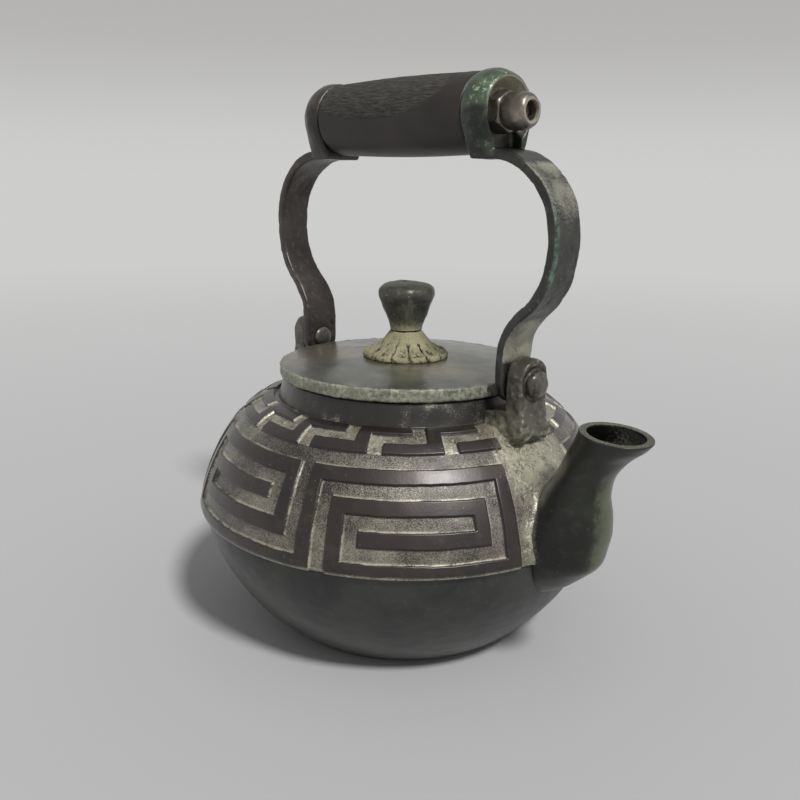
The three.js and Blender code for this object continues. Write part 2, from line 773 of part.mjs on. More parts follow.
// Rosette under the knob: a flared foot whose edge is cut into round petals with a groove between each two
function makeKnobSeat() {
  const bore = studRadius + gap;
  const foot = (radius) => lidTop(radius) + gap;
  const top = lidTop(0) + gap + rosetteHeight;
  const perPetal = 4;
  const around = petals * perPetal;
  const flare = 6;
  const grid = [];
  for (let k = 0; k < around; k++) {
    const angle = (k / around) * 360 * degree;
    const middle = Math.abs(Math.cos((angle * petals) / 2)); // 1 on a petal's middle, 0 in a groove
    const edge = rosetteRadius - scallop * (1 - Math.sqrt(1 - (1 - middle) ** 2));
    const outline = [[bore, top], [knobNeckRadius, top]];
    for (let i = 1; i <= flare; i++) {
      const share = i / flare;
      const radius = knobNeckRadius + (edge - knobNeckRadius) * share;
      const slope = (1 - share) ** 1.9;
      const groove = grooveDepth * Math.min(1, 2.2 * share) * (1 - middle) ** 1.5;
      outline.push([radius, foot(radius) + petalThickness + (rosetteHeight - petalThickness) * slope - groove]);
    }
    outline.push([edge, foot(edge)], [bore, foot(bore)]);
    grid.push(outline.map(([radius, height]) =>
      new THREE.Vector3(radius * Math.cos(angle), radius * Math.sin(angle), height)));
  }
  return ringOf(grid);
}

// Closed outlines set round the axis, joined into a ring
function ringOf(outlines) {
  const around = outlines.length;
  const size = outlines[0].length;
  const corner = (k, i) => (k % around) * size + (i % size);
  const index = [];
  for (let k = 0; k < around; k++) {
    for (let i = 0; i < size; i++) {
      index.push(corner(k, i), corner(k + 1, i), corner(k + 1, i + 1));
      index.push(corner(k, i), corner(k + 1, i + 1), corner(k, i + 1));
    }
  }
  return solid(new THREE.BufferGeometry().setFromPoints(outlines.flat()).setIndex(index));
}

const knobFoot = lidTop(0) + gap + rosetteHeight + gap;

// Knob: straight taper from the neck to the widest place, then a low dome with the air hole in it
function makeKnob() {
  const bore = studRadius + gap;
  const domeSteps = 6;
  const crown = Array.from({ length: domeSteps + 1 }, (_, i) => {
    const angle = (i / domeSteps) * 80 * degree;
    const rise = (knobHeight - knobWidest) * Math.sin(angle) / Math.sin(80 * degree);
    return [Math.max(airHoleRadius, knobRadius * Math.cos(angle)), knobFoot + knobWidest + rise];
  });
  const top = knobFoot + knobHeight;
  return turned([
    [0, knobFoot + studReach + gap],
    [bore, knobFoot + studReach + gap],
    [bore, knobFoot],
    [knobNeckRadius, knobFoot],
    [knobNeckRadius + knobNeckFlare, knobFoot + knobNeckHeight],
    [taperRadius, knobFoot + taperTop],
    ...crown,
    [airHoleRadius, top],
    [airHoleRadius, top - airHoleDepth],
    [0, top - airHoleDepth],
  ], 24);
}

// Stud from under the lid up into the knob, spread out over the washer at its lower end
function makeStud() {
  const underside = lidTop(0) - lidWall - gap - washerThickness - gap;
  return turned([
    [0, underside - studTail],
    [0.75 * studTailRadius, underside - studTail],
    [studTailRadius, underside],
    [studRadius, underside],
    [studRadius, knobFoot + studReach],
    [0, knobFoot + studReach],
  ], smallSegments);
}

function makeWasher() {
  const top = lidTop(washerRadius) - lidWall - gap;
  const bottom = top - washerThickness;
  const bore = studRadius + gap;
  return turned(closed([
    [bore, bottom],
    [washerRadius, bottom],
    [washerRadius, top],
    [bore, top],
  ]), smallSegments);
}

// Finishes

const finish = (color, roughness, metalness) => new THREE.MeshStandardMaterial({ color, roughness, metalness });

const bowlBronze = finish(0x3a3f3c, 0.5, 0.8);
const shellBronze = finish(0x55514a, 0.6, 0.7);
const spoutBronze = finish(0x2b2f2b, 0.42, 0.8);
const lidBronze = finish(0x6f6f66, 0.6, 0.7);
const rosetteBronze = finish(0xa5a384, 0.75, 0.5);
const knobBronze = finish(0x5d5c4c, 0.5, 0.7);
const armBronze = finish(0x6d6f68, 0.55, 0.75);
const lugBronze = finish(0x4c4b46, 0.6, 0.7);
const rivetBronze = finish(0x6a6761, 0.45, 0.8);
const steelBrown = finish(0x4a423d, 0.35, 0.85);
const darkWood = finish(0x3a3634, 0.6, 0);

// Assembly

const pot = new THREE.Group();
pot.add(mesh("lower_bowl", makeLowerBowl(), bowlBronze));
pot.add(mesh("upper_shell", makeUpperShell(), shellBronze));
pot.add(mesh("spout", makeSpout(), spoutBronze));
pot.add(mesh("lug_front", makeLug(), lugBronze));
pot.add(mesh("lug_rear", mirrored(makeLug()), lugBronze.clone()));
pot.add(mesh("pivot_pin_front", makePin(), rivetBronze));
pot.add(mesh("pivot_pin_rear", mirrored(makePin()), rivetBronze.clone()));

const lid = new THREE.Group();
lid.position.z = shoulderHeight + neckHeight + gap;
lid.add(mesh("lid_plate", makeLidPlate(), lidBronze));
lid.add(mesh("knob_seat", makeKnobSeat(), rosetteBronze));
lid.add(mesh("knob", makeKnob(), knobBronze));
lid.add(mesh("knob_stud", makeStud(), steelBrown.clone()));
lid.add(mesh("stud_washer", makeWasher(), steelBrown.clone()));

const handle = new THREE.Group();
handle.position.z = pivotHeight;
handle.add(mesh("arm_front", makeArm(), armBronze));
handle.add(mesh("arm_rear", mirrored(makeArm()), armBronze.clone()));
handle.add(mesh("grip", makeGrip(), darkWood));
handle.add(mesh("tie_rod", makeTieRod(), steelBrown));
handle.add(mesh("hex_nut", makeHexNut(), steelBrown.clone()));
handle.add(mesh("cap_nut", makeCapNut(), steelBrown.clone()));

const teapot = new THREE.Group();
teapot.add(pot, lid, handle);

export default teapot;
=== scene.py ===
# Loop-handled teapot of cast bronze, dressed on its measured frame.
# Shapes are worked out in millimetres and written to the meshes in metres. The spout points along +X.
import bpy
import numpy as np
from mathutils import Matrix, Vector


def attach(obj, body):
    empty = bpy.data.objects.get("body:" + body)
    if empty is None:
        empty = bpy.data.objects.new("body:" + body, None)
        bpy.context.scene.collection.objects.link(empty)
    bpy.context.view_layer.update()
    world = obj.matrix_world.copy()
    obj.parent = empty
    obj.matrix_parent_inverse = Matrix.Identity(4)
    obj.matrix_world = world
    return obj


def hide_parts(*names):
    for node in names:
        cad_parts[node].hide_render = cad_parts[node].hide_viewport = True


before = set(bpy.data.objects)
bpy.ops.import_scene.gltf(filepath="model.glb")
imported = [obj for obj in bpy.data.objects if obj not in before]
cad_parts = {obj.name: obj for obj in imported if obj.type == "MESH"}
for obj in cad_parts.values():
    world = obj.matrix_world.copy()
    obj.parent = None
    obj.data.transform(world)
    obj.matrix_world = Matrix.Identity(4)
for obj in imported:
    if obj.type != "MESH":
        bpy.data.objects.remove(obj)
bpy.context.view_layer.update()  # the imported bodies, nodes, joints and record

mm = 0.001
turn = 2 * np.pi
quarter = turn / 4


# Shapes

# Sum of sine waves in random directions, about -1 to 1, with swells about as long as size
def swells(points, size, seed, count=26):
    random = np.random.default_rng(seed)
    ways = random.normal(size=(count, 3))
    ways /= np.linalg.norm(ways, axis=1)[:, None] * size * random.uniform(0.6, 1.7, (count, 1))
    phases = random.uniform(0, turn, count)
    return np.sin(points @ ways.T * turn + phases).sum(axis=-1) * 0.62 * np.sqrt(2 / count)


# Rises smoothly from 0 at low to 1 at high
def ease(value, low, high):
    share = np.clip((value - low) / (high - low), 0, 1)
    return share * share * (3 - 2 * share)


# Centripetal Catmull-Rom curve through the points, at shares from 0 to 1 counted in points
def through(points, shares):
    points = np.asarray(points, float)
    path = np.vstack([2 * points[0] - points[1], points, 2 * points[-1] - points[-2]])
    shares = np.atleast_1d(shares) * (len(points) - 1)
    first = np.minimum(shares.astype(int), len(points) - 2)
    local = (shares - first)[:, None]
    a, b, c, d = (path[first + k] for k in range(4))
    before, here, after = (
        np.sqrt(np.linalg.norm(end - start, axis=1))[:, None] for start, end in ((a, b), (b, c), (c, d))
    )
    leave = ((b - a) / before - (c - a) / (before + here) + (c - b) / here) * here
    arrive = ((c - b) / here - (d - b) / (here + after) + (d - c) / after) * here
    return (
        b + leave * local
        + (3 * (c - b) - 2 * leave - arrive) * local ** 2
        + (2 * (b - c) + leave + arrive) * local ** 3
    )


# The same curve at points evenly spaced along it, with its direction at each
def evenly(points, count):
    fine = through(points, np.linspace(0, 1, 1200))
    length = np.concatenate([[0], np.cumsum(np.linalg.norm(np.diff(fine, axis=0), axis=1))])
    places = np.linspace(0, length[-1], count)
    line = np.stack([np.interp(places, length, fine[:, k]) for k in range(fine.shape[1])], 1)
    along = np.gradient(line, axis=0)
    return line, along / np.linalg.norm(along, axis=1)[:, None]


# Straight runs through corners (radius, height, rounding), each corner eased by a parabola of that size
def outlineOf(corners, step=0.8, arcSteps=5):
    corners = np.array(corners, float)
    spots = corners[:, :2]
    parts = [spots[:1]]
    for before, here, after, size in zip(spots[:-2], spots[1:-1], spots[2:], corners[1:-1, 2]):
        back, ahead = before - here, after - here
        reach = min(size, np.linalg.norm(back) / 2, np.linalg.norm(ahead) / 2)
        start = here + back / np.linalg.norm(back) * reach
        end = here + ahead / np.linalg.norm(ahead) * reach
        share = np.linspace(0, 1, arcSteps)[:, None] if reach > 0 else np.zeros((1, 1))
        parts.append((1 - share) ** 2 * start + 2 * share * (1 - share) * here + share ** 2 * end)
    parts.append(spots[-1:])
    line = np.vstack(parts)
    counts = np.maximum(1, np.ceil(np.linalg.norm(np.diff(line, axis=0), axis=1) / step).astype(int))
    runs = [np.linspace(a, b, n, endpoint=False) for a, b, n in zip(line[:-1], line[1:], counts)]
    return np.vstack(runs + [line[-1:]])


# Outline of (radius, height) turned about the Z axis: grid[row, column]
def turned(outline, columns):
    angle = np.arange(columns) / columns * turn
    radius, height = outline[:, :1], outline[:, 1:]
    level = np.broadcast_to(height, (len(outline), columns))
    return np.stack([radius * np.cos(angle), radius * np.sin(angle), level], -1)


# Outline of (radius, x) turned about a line along X at a height
def turnedAlongX(outline, columns, height):
    grid = turned(outline, columns)
    return np.stack([grid[..., 2], grid[..., 0], grid[..., 1] + height], -1)


# Outward or inward unit direction at each point of a grid that is closed round its columns
def facing(grid):
    around = np.roll(grid, -1, 1) - np.roll(grid, 1, 1)
    along = np.gradient(grid, axis=0)
    normal = np.cross(around, along)
    size = np.linalg.norm(normal, axis=-1, keepdims=True)
    return np.where(size > 1e-9, normal / np.maximum(size, 1e-9), 0)


# Moves a turned grid in and out by swells of each (amount, size, seed), but leaves its poles alone
def uneven(grid, skin, axis=2):
    other = [k for k in range(3) if k != axis]
    for amount, size, seed in skin:
        middle = grid[..., other].mean(axis=1, keepdims=True)
        offAxis = np.linalg.norm(grid[..., other] - middle, axis=-1, keepdims=True)
        grid = grid + facing(grid) * swells(grid, size, seed)[..., None] * amount * ease(offAxis, 0.2, 2)
    return grid


# Row of the middle point before the first row and after the last, to close a lofted grid
def capped(grid):
    ends = [np.broadcast_to(row.mean(axis=0), row.shape)[None] for row in (grid[0], grid[-1])]
    return np.concatenate([ends[0], grid, ends[1]])


# Keeps one number for each point of a mesh under each word, for the materials to read
def mark(mesh, numbers):
    for word, values in numbers.items():
        mesh.attributes.new(word, "FLOAT", "POINT").data.foreach_set("value", values.astype(np.float32))


# Mesh over a grid of points: neighbouring rows and columns make quads, columns join round, and rows too where
# joinRows is set. Points that fall together are merged, so poles close. extra holds a number for each point.
def surface(name, grid, joinRows=False, **extra):
    rows, columns = grid.shape[:2]
    keys = np.round(grid.reshape(-1, 3) / 1e-3).astype(np.int64)
    _, first, place = np.unique(keys, axis=0, return_index=True, return_inverse=True)
    place = place.reshape(rows, columns)
    points = grid.reshape(-1, 3)[first]
    below = place if joinRows else place[:-1]
    above = np.roll(place, -1, 0) if joinRows else place[1:]
    quads = np.stack([below, np.roll(below, -1, 1), np.roll(above, -1, 1), above], -1).reshape(-1, 4)
    repeats = quads == np.roll(quads, -1, 1)
    whole = quads[repeats.sum(1) == 0]
    pinched = repeats.sum(1) == 1
    thirds = quads[pinched][~repeats[pinched]].reshape(-1, 3)
    a, b, c, d = points[whole].transpose(1, 0, 2)
    e, f, g = points[thirds].transpose(1, 0, 2)
    volume = sum(np.einsum("ij,ij->", p, np.cross(q, r)) for p, q, r in ((a, b, c), (a, c, d), (e, f, g)))
    if volume < 0:
        whole, thirds = whole[:, ::-1], thirds[:, ::-1]
    loops = np.concatenate([whole.ravel(), thirds.ravel()])
    starts = np.concatenate([np.arange(len(whole)) * 4, len(whole) * 4 + np.arange(len(thirds)) * 3])
    mesh = bpy.data.meshes.new(name)
    mesh.vertices.add(len(points))
    mesh.vertices.foreach_set("co", (points * mm).ravel())
    mesh.loops.add(len(loops))
    mesh.loops.foreach_set("vertex_index", loops)
    mesh.polygons.add(len(starts))
    mesh.polygons.foreach_set("loop_start", starts)
    numbers = {word: np.broadcast_to(values, (rows, columns)).ravel() for word, values in extra.items()}
    mark(mesh, {word: values[first] for word, values in numbers.items()})
    mesh.update(calc_edges=True)
    mesh.validate()
    piece = bpy.data.objects.new(name, mesh)
    bpy.context.scene.collection.objects.link(piece)
    return piece


# Puts the result of the modifiers in the mesh
def settled(piece):
    evaluated = piece.evaluated_get(bpy.context.evaluated_depsgraph_get())
    made = bpy.data.meshes.new_from_object(evaluated)
    old = piece.data
    piece.modifiers.clear()
    piece.data = made
    bpy.data.meshes.remove(old)
    return piece


# Joins another closed piece to this one, or cuts it away
def combined(piece, other, operation="DIFFERENCE"):
    step = piece.modifiers.new("combine", "BOOLEAN")
    step.operation = operation
    step.solver = "MANIFOLD"
    step.object = other
    settled(piece)
    bpy.data.objects.remove(other)
    return piece


# Cuts a round hole along X, from first to last
def drilled(piece, radius, first, last, columns, height):
    side = outlineOf([(0, first, 0), (radius, first, 0), (radius, last, 0), (0, last, 0)], 40)
    return combined(piece, surface("drill", turnedAlongX(side, columns, height)))


# Rebuilds the skin in small even faces and softens it, so that joined pieces flow together like a casting
def castTogether(piece, voxel, passes):
    step = piece.modifiers.new("skin", "REMESH")
    step.mode = "VOXEL"
    step.voxel_size = voxel * mm
    soft = piece.modifiers.new("soft", "SMOOTH")
    soft.factor = 0.5
    soft.iterations = passes
    settled(piece)
    return piece


# Points of a mesh in millimetres, with their outward directions
def pointsOf(piece):
    mesh = piece.data
    points = np.empty(len(mesh.vertices) * 3, np.float32)
    mesh.vertices.foreach_get("co", points)
    normals = np.empty(len(points), np.float32)
    mesh.vertex_normals.foreach_get("vector", normals)
    return points.reshape(-1, 3) / mm, normals.reshape(-1, 3)


# Puts moved points back in the mesh, with their numbers
def setPoints(piece, points, **extra):
    piece.data.vertices.foreach_set("co", (points * mm).astype(np.float32).ravel())
    mark(piece.data, extra)
    piece.data.update()


# Round dents of (x, y, z, radius, depth)
def dented(points, normals, dents):
    for *spot, radius, depth in dents:
        far = np.linalg.norm(points - np.array(spot), axis=1)
        points = points - normals * (depth * np.exp(-(far / radius) ** 2))[:, None]
    return points


# Materials

# sRGB hex to linear
def hexColour(code):
    values = np.array([int(code[k:k + 2], 16) for k in (1, 3, 5)]) / 255
    linear = np.where(values <= 0.04045, values / 12.92, ((values + 0.055) / 1.055) ** 2.4)
    return (*linear.tolist(), 1.0)


# Adds a node and gives back one of its outputs. Inputs are values or other outputs, by the name of their
# socket or its number among those that the settings leave on. Settings are the node's properties.
def addNode(tree, kind, inputs=None, output=None, **settings):
    node = tree.nodes.new("ShaderNode" + kind)
    for word, value in settings.items():
        setattr(node, word, value)
    used = [socket for socket in node.inputs if socket.enabled]
    for word, value in (inputs or {}).items():
        socket = used[word] if isinstance(word, int) else next(s for s in used if s.name == word)
        if isinstance(value, bpy.types.NodeSocket):
            tree.links.new(value, socket)
        else:
            socket.default_value = hexColour(value) if isinstance(value, str) else value
    return next((s for s in node.outputs if s.enabled and output in (None, s.name)), None)


# Scale of a texture whose features are about so many millimetres across
def perMetre(size):
    return 1 / (size * mm)


# Empty node tree for a material or the world
def emptyTree(owner):
    owner.use_nodes = True
    owner.node_tree.nodes.clear()
    return owner.node_tree


noises = {  # millimetres across, detail, roughness, shift and twist
    "clouds": (22, 5, 0.6, 0, 0), "mottles": (4.5, 8, 0.68, 0.3, 0), "flecks": (1.3, 4, 0.7, 0.7, 0),
    "tint": (30, 4, 0.6, 1.9, 0), "grain": (0.9, 3, 0.6, 2.3, 0), "sand": (0.7, 6, 0.75, 3.1, 0),
    "patches": (16, 4, 0.6, 4.7, 0), "rubbed": (7, 6, 0.7, 6.1, 0), "curls": (3.2, 3, 0.55, 5.3, 2.2),
    "collarWear": (5, 7, 0.7, None, 0), "collarPatches": (7, 7, 0.7, None, 0),
    "collarSpecks": (1.5, 7, 0.7, None, 0), "collarFoot": (9, 7, 0.7, None, 0),
    "verdigris": (4, 7, 0.7, None, 0),
}
patinaDefaults = {
    "mottleShare": 0.35, "fleckShare": 0.12, "sizes": {}, "tint": None, "stain": None, "metal": 0.55,
    "rough": (0.38, 0.62), "wax": 0.0, "waxRough": 0.34, "grainDepth": 0.05, "dust": None, "dustRough": 0.88,
    "dustMetal": 0.05, "dustDepth": 2.2, "paleFrom": (1.0, 1.6), "sandy": 1.1, "patchy": 0.0, "lines": False,
    "curls": None, "curlDepth": 9.0, "collar": None, "verdigris": None,
}
paintedBarShadow = "#1c1916"  # painted shadow below the relief's bars


# Cast bronze under patina: clouds of a dark and a middle tone, then light mottles and pale flecks. Where the
# look has dust tones, a dry granular sediment follows the dust number on the points and hides the metal's
# sheen. Each layer of the list is a share from 0 to 1 and the colour that it brings.
def patinatedBronze(name, seed, tones, **look):
    look = {**patinaDefaults, **look}
    dark, mid, light, fleck = tones.split()
    material = bpy.data.materials.new(name)
    tree = emptyTree(material)
    place = addNode(tree, "TexCoord", output="Object")

    # Noise from the list above, at a place of its own for each seed
    def noise(word):
        size, detail, rough, shift, twist = noises[word]
        spot = (0, 0, 0) if shift is None else (seed + shift, shift, 0)
        moved = addNode(tree, "Mapping", {"Vector": place, "Location": spot})
        scale = perMetre(look["sizes"].get(word, size))
        return addNode(tree, "TexNoise", {
            "Vector": moved, "Scale": scale, "Detail": detail, "Roughness": rough, "Distortion": twist,
        })

    # most times, for each value, its rise from 0 at low to 1 at high
    def risen(most, *steps, way="SMOOTHSTEP"):
        for value, low, high in steps:
            ends = {"Value": value, "From Min": low, "From Max": high, "To Max": most}
            most = addNode(tree, "MapRange", ends, interpolation_type=way)
        return most

    # total plus each value times its share
    def summed(total, *parts):
        for value, share in parts:
            total = addNode(tree, "Math", {0: value, 1: share, 2: total}, operation="MULTIPLY_ADD")
        return total

    # The colour with each layer's tone laid over it by its share
    def layered(colour, layers):
        for share, tone in layers:
            colour = addNode(tree, "Mix", {"Factor": share, "A": colour, "B": tone}, data_type="RGBA")
        return colour

    # Number that the points carry under the word
    def numberOn(word):
        return addNode(tree, "Attribute", output="Fac", attribute_name=word)

    mottles = noise("mottles")
    layers = [
        (risen(1.0, (noise("clouds"), 0.38, 0.62)), mid),
        (risen(look["mottleShare"] * 2, (mottles, 0.5, 0.72)), light),
        (risen(1.0, (noise("flecks"), 0.66 - look["fleckShare"] * 0.4, 0.72)), fleck),
    ]
    if look["tint"]:
        layers.append((risen(1.0, (noise("tint"), 0.45, 0.6)), look["tint"]))
    # painted light laid by the number that the points carry: shade darkening the shell's neck and inside, and
    # an olive sheen on one side of the spout
    if look["stain"]:
        ragged = summed(numberOn("stain"), (mottles, 1.2))
        layers.append((risen(0.92, (ragged, 0.8, 1.4)), look["stain"]))
    roughLow, roughHigh = look["rough"]
    rough = addNode(tree, "MapRange", {
        "Value": mottles, "From Min": 0.3, "From Max": 0.7, "To Min": roughLow, "To Max": roughHigh,
    })
    metal = look["metal"]
    relief = summed(0.0, (noise("grain"), 0.5))
    if look["dust"]:
        brown, pale = look["dust"].split()
        dust, sand, patches = numberOn("dust"), noise("sand"), noise("patches")
        depth = summed(dust, (sand, look["sandy"]), (patches, look["patchy"]))
        tone = summed(0.0, (patches, 0.9), (sand, 0.8), (dust, 0.5))
        if look["lines"]:  # pale grains heaped along the sides of the bars that face the light, with a painted highlight on these lit steps
            side, lit = numberOn("edge"), numberOn("lit")
            ledge = risen(lit, (side, -1.0, 0.0), (side, 0.14, 0.03), (noise("rubbed"), 0.3, 0.62))
            depth, tone = summed(depth, (ledge, 0.42)), summed(tone, (ledge, 0.42))
        even = (look["sandy"] + look["patchy"]) / 2
        covered = (depth, even + 0.28, even + 0.72)
        cover = risen(1.0, covered)
        layers.append((cover, layered(brown, [(risen(1.0, (tone, *look["paleFrom"])), pale)])))
        rough, metal = (
            addNode(tree, "MapRange", {"Value": cover, "To Min": clean, "To Max": dusty})
            for clean, dusty in ((rough, look["dustRough"]), (metal, look["dustMetal"]))
        )
        relief = summed(relief, (sand, risen(look["dustDepth"], covered)))
        if look["lines"]:  # painted shadow: a dark line under the sides that face away from it
            paintedShadowShare = summed(0.85, (lit, -0.85))
            layers.append((risen(paintedShadowShare, (side, -0.55, -0.2), (side, 0.2, 0.02)), paintedBarShadow))
        if look["curls"]:  # threads and lumps of flash where the dust lies thick
            curls, thick = noise("curls"), (dust, 0.55, 0.8)
            off = addNode(tree, "Math", {0: summed(curls, (1.0, -0.5))}, operation="ABSOLUTE")
            layers += [(risen(0.85, (off, 0.06, 0.0), (mottles, 0.42, 0.55), thick), dark),
                       (risen(0.8, (curls, 0.6, 0.68), thick), look["curls"])]
            relief = summed(relief, (curls, risen(look["curlDepth"], thick)))
    if look["collar"]:  # tones of its own on the collar with a painted shade on its lower part, and verdigris along one edge of the strap
        upper, green, pale, paintedUnderShade = look["collar"].split()
        wear, blots, specks, foot, rust = (
            risen(most, (noise(word), low, high), way="LINEAR") for word, low, high, most in (
                ("collarWear", 0.42, 0.62, 1.0), ("collarPatches", 0.5, 0.6, 1.0),
                ("collarSpecks", 0.52, 0.6, 1.0), ("collarFoot", 0.3, 0.5, 0.95),
                ("verdigris", 0.4, 0.55, 0.85),
            )
        )
        collar = layered(upper, [(wear, green), (summed(0.0, (blots, specks)), pale),
                                 (summed(0.0, (numberOn("below"), foot)), paintedUnderShade)])
        layers += [(numberOn("collar"), collar), (summed(0.0, (numberOn("edge"), rust)), look["verdigris"])]
    bump = addNode(tree, "Bump", {"Height": relief, "Distance": look["grainDepth"] * mm, "Strength": 1.0})
    shader = addNode(tree, "BsdfPrincipled", {
        "Base Color": layered(dark, layers), "Metallic": metal, "Roughness": rough, "Normal": bump,
        "Coat Weight": look["wax"], "Coat Roughness": look["waxRough"], "Coat Normal": bump,
    })
    addNode(tree, "OutputMaterial", {"Surface": shader})
    return material


# Gives a new piece smooth faces, its material and its body, and hides the measured nodes that it stands for.
# The record's slot is passed but not used.
def dress(piece, material, body, slot, *nodes):
    piece.data.polygons.foreach_set("use_smooth", np.ones(len(piece.data.polygons), bool))
    piece.data.materials.clear()
    piece.data.materials.append(material)
    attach(piece, body)
    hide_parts(*nodes)
    print("made", piece.name, len(piece.data.polygons), "faces")
    return piece


# Pot walls: superellipse from a wide edge at the waist to a narrow one
pot = {
    "baseRadius": 42.5, "bowlRimRadius": 71.8, "seamHeight": 44.4, "waistRadius": 74.3,
    "shoulderRadius": 45.3, "shoulderHeight": 83.9, "wall": 2.5, "neckTopRadius": 43.5, "neckHeight": 6.5,
    "mouthRadius": 39.2, "shellFullness": (2, 1.4), "bowlFullness": (1.21, 1.68), "seam": 0.3,
    "lapHeight": 2.5, "lapThickness": 1.2, "lapTaper": 0.6, "lipHeight": 0.2, "shellFootRound": 1.7,
    "recess": 0.9, "recessRadius": 38.5, "recessEnd": 39.6, "floorRound": 3, "mouthRound": 0.6,
    "skin": [(0.12, 26, 3), (0.035, 5, 4)],
}
neckTop = pot["shoulderHeight"] + pot["neckHeight"]


# Distance along the wall, radius and height, then the direction out of the wall: the radius goes from wide to
# narrow as a power of the cosine, and the height from foot by rise as a power of the sine
def wallCurve(wide, narrow, foot, rise, fullness):
    angle = np.linspace(0, quarter, 900)
    radius = narrow + (wide - narrow) * np.maximum(np.cos(angle), 0) ** (2 / fullness[0])
    height = foot + rise * np.sin(angle) ** (2 / fullness[1])
    distance = np.concatenate([[0], np.cumsum(np.hypot(np.diff(radius), np.diff(height)))])
    even = np.linspace(0, distance[-1], 900)
    radius, height = np.interp(even, distance, radius), np.interp(even, distance, height)
    out = np.stack([np.gradient(height), -np.gradient(radius)], 1) * np.sign(rise)
    return even, radius, height, out / np.linalg.norm(out, axis=1)[:, None]


# Radius and height of points at a distance along the wall that stand off it by rise
def offWall(curve, distance, rise):
    even, radius, height, out = curve
    across = np.interp(distance, even, out[:, 0])
    up = np.interp(distance, even, out[:, 1])
    return np.interp(distance, even, radius) + rise * across, np.interp(distance, even, height) + rise * up


shellRise = pot["shoulderHeight"] - pot["seamHeight"]
shellCurve = wallCurve(pot["waistRadius"], pot["shoulderRadius"], pot["seamHeight"], shellRise,
                       pot["shellFullness"])
bowlCurve = wallCurve(pot["bowlRimRadius"], pot["baseRadius"], pot["seamHeight"] - pot["seam"],
                      pot["seam"] - pot["seamHeight"], pot["bowlFullness"])
shellLength = shellCurve[0][-1]
bowlLength = bowlCurve[0][-1]


# One outline runs from the recessed base up the outside, over the lap at the waist and down the inside
def makeBowl():
    wall = pot["wall"]
    outer = np.stack(offWall(bowlCurve, np.linspace(0, bowlLength, 60), 0), 1)
    inner = np.stack(offWall(bowlCurve, np.linspace(0, bowlLength, 30), -wall), 1)
    inner = inner[inner[:, 1] > wall + 1]
    rim = pot["seamHeight"] - pot["seam"]
    lip, lapTop = rim + pot["lipHeight"], rim + pot["lapHeight"]
    lap = pot["waistRadius"] - relief["depth"] - wall - pot["seam"]
    lapEnd = lap - pot["lapTaper"]
    foot = outlineOf([(0, pot["recess"], 0), (pot["recessRadius"], pot["recess"], 1),
                      (pot["recessEnd"], 0, 0.6), (pot["baseRadius"], 0, 0)], 4)
    top = outlineOf([(*outer[0], 0), (pot["bowlRimRadius"] - 0.15, lip, 0.3), (lap, lip, 0.1),
                     (lapEnd, lapTop, 0.3), (lapEnd - pot["lapThickness"], lapTop, 0.3), (*inner[0], 0)], 2)
    soft = pot["floorRound"]
    floor = outlineOf([(*inner[-1], 0), (pot["baseRadius"] - soft, wall, soft), (0, wall, 0)], 6)
    grid = turned(np.vstack([foot[:-1], outer[::-1][1:-1], top, inner[1:-1], floor]), 240)
    low = ease(grid[..., 2], 1, 8)[..., None]  # the standing face stays flat
    piece = surface("bowl_casting", grid + (uneven(grid, pot["skin"]) - grid) * low)
    return dress(piece, bowlBronze, "pot", "bowl_bronze", "lower_bowl")


# Squared-spiral relief. Rows of the patterns run from the top: # is a raised bar and . is ground.
relief = {
    "depth": 1.0, "plainTop": 1.7, "plainRing": 5.2, "bandRowHeight": 4.1, "bandUnits": 15,
    "bandStart": -50.4, "unit": 3.87, "halfGap": 14.3, "panelPairs": 3, "lugMargin": 12.5,
    "slopes": (-0.34, -0.07, 0.07, 0.3), "levels": (-1, -0.94, -0.14, 0), "beyond": 0.46, "columnStep": 1.6,
    "rowStep": 1.9, "firstAngle": -20.0, "spiralRadius": 71, "linkRadius": 56, "wander": 0.16, "chips": 0.07,
    "barSwell": 0.03, "grains": 0.06, "neckSkin": [(0.05, 9, 26)],
}
spiralPanel = ["######", "......", ".####.", ".#..#.", ".#.##.", ".#....", ".#####"]
linkUnit = ["##.##", "...#.", "####."]
linkTop = shellLength - relief["plainTop"]
linkFoot = linkTop - len(linkUnit) * relief["bandRowHeight"]
spiralTop = linkFoot - relief["plainRing"]


# Columns of the big band: pairs of panels, one turned half round, with upright bars at their sides
def spiralColumns():
    rows = len(spiralPanel)
    unit = relief["unit"]
    pairs = relief["panelPairs"]
    plainUnits = pairs * (2 * (len(spiralPanel[0]) - 1) + 3) + pairs - 1
    middle = (360 - 2 * relief["halfGap"] - plainUnits * unit) / (2 * pairs)
    widths = [unit, unit, unit, middle, unit, unit]
    panel = [(width, "".join(row[k] for row in spiralPanel)) for k, width in enumerate(widths)]
    turnedPanel = [(width, signs[::-1]) for width, signs in panel[::-1]]
    upright = (unit, "#" * rows)
    pair = [upright, *turnedPanel, upright, *panel, upright]
    columns = list(pair)
    for _ in range(pairs - 1):
        columns += [(unit, "." * rows), *pair]
    return columns + [(2 * relief["halfGap"], "." * rows)]


# Columns of the small band, left plain where the lugs stand
def linkColumns():
    count = len(linkUnit[0])
    width = 360 / (relief["bandUnits"] * count)
    columns = []
    for k in range(relief["bandUnits"] * count):
        middle = relief["bandStart"] + (k + 0.5) * width
        fromLug = abs(abs((middle + 360) % 180 - 90) - 90)
        signs = "".join(row[k % count] for row in linkUnit) if fromLug > relief["lugMargin"] else "..."
        columns.append((width, signs))
    return columns


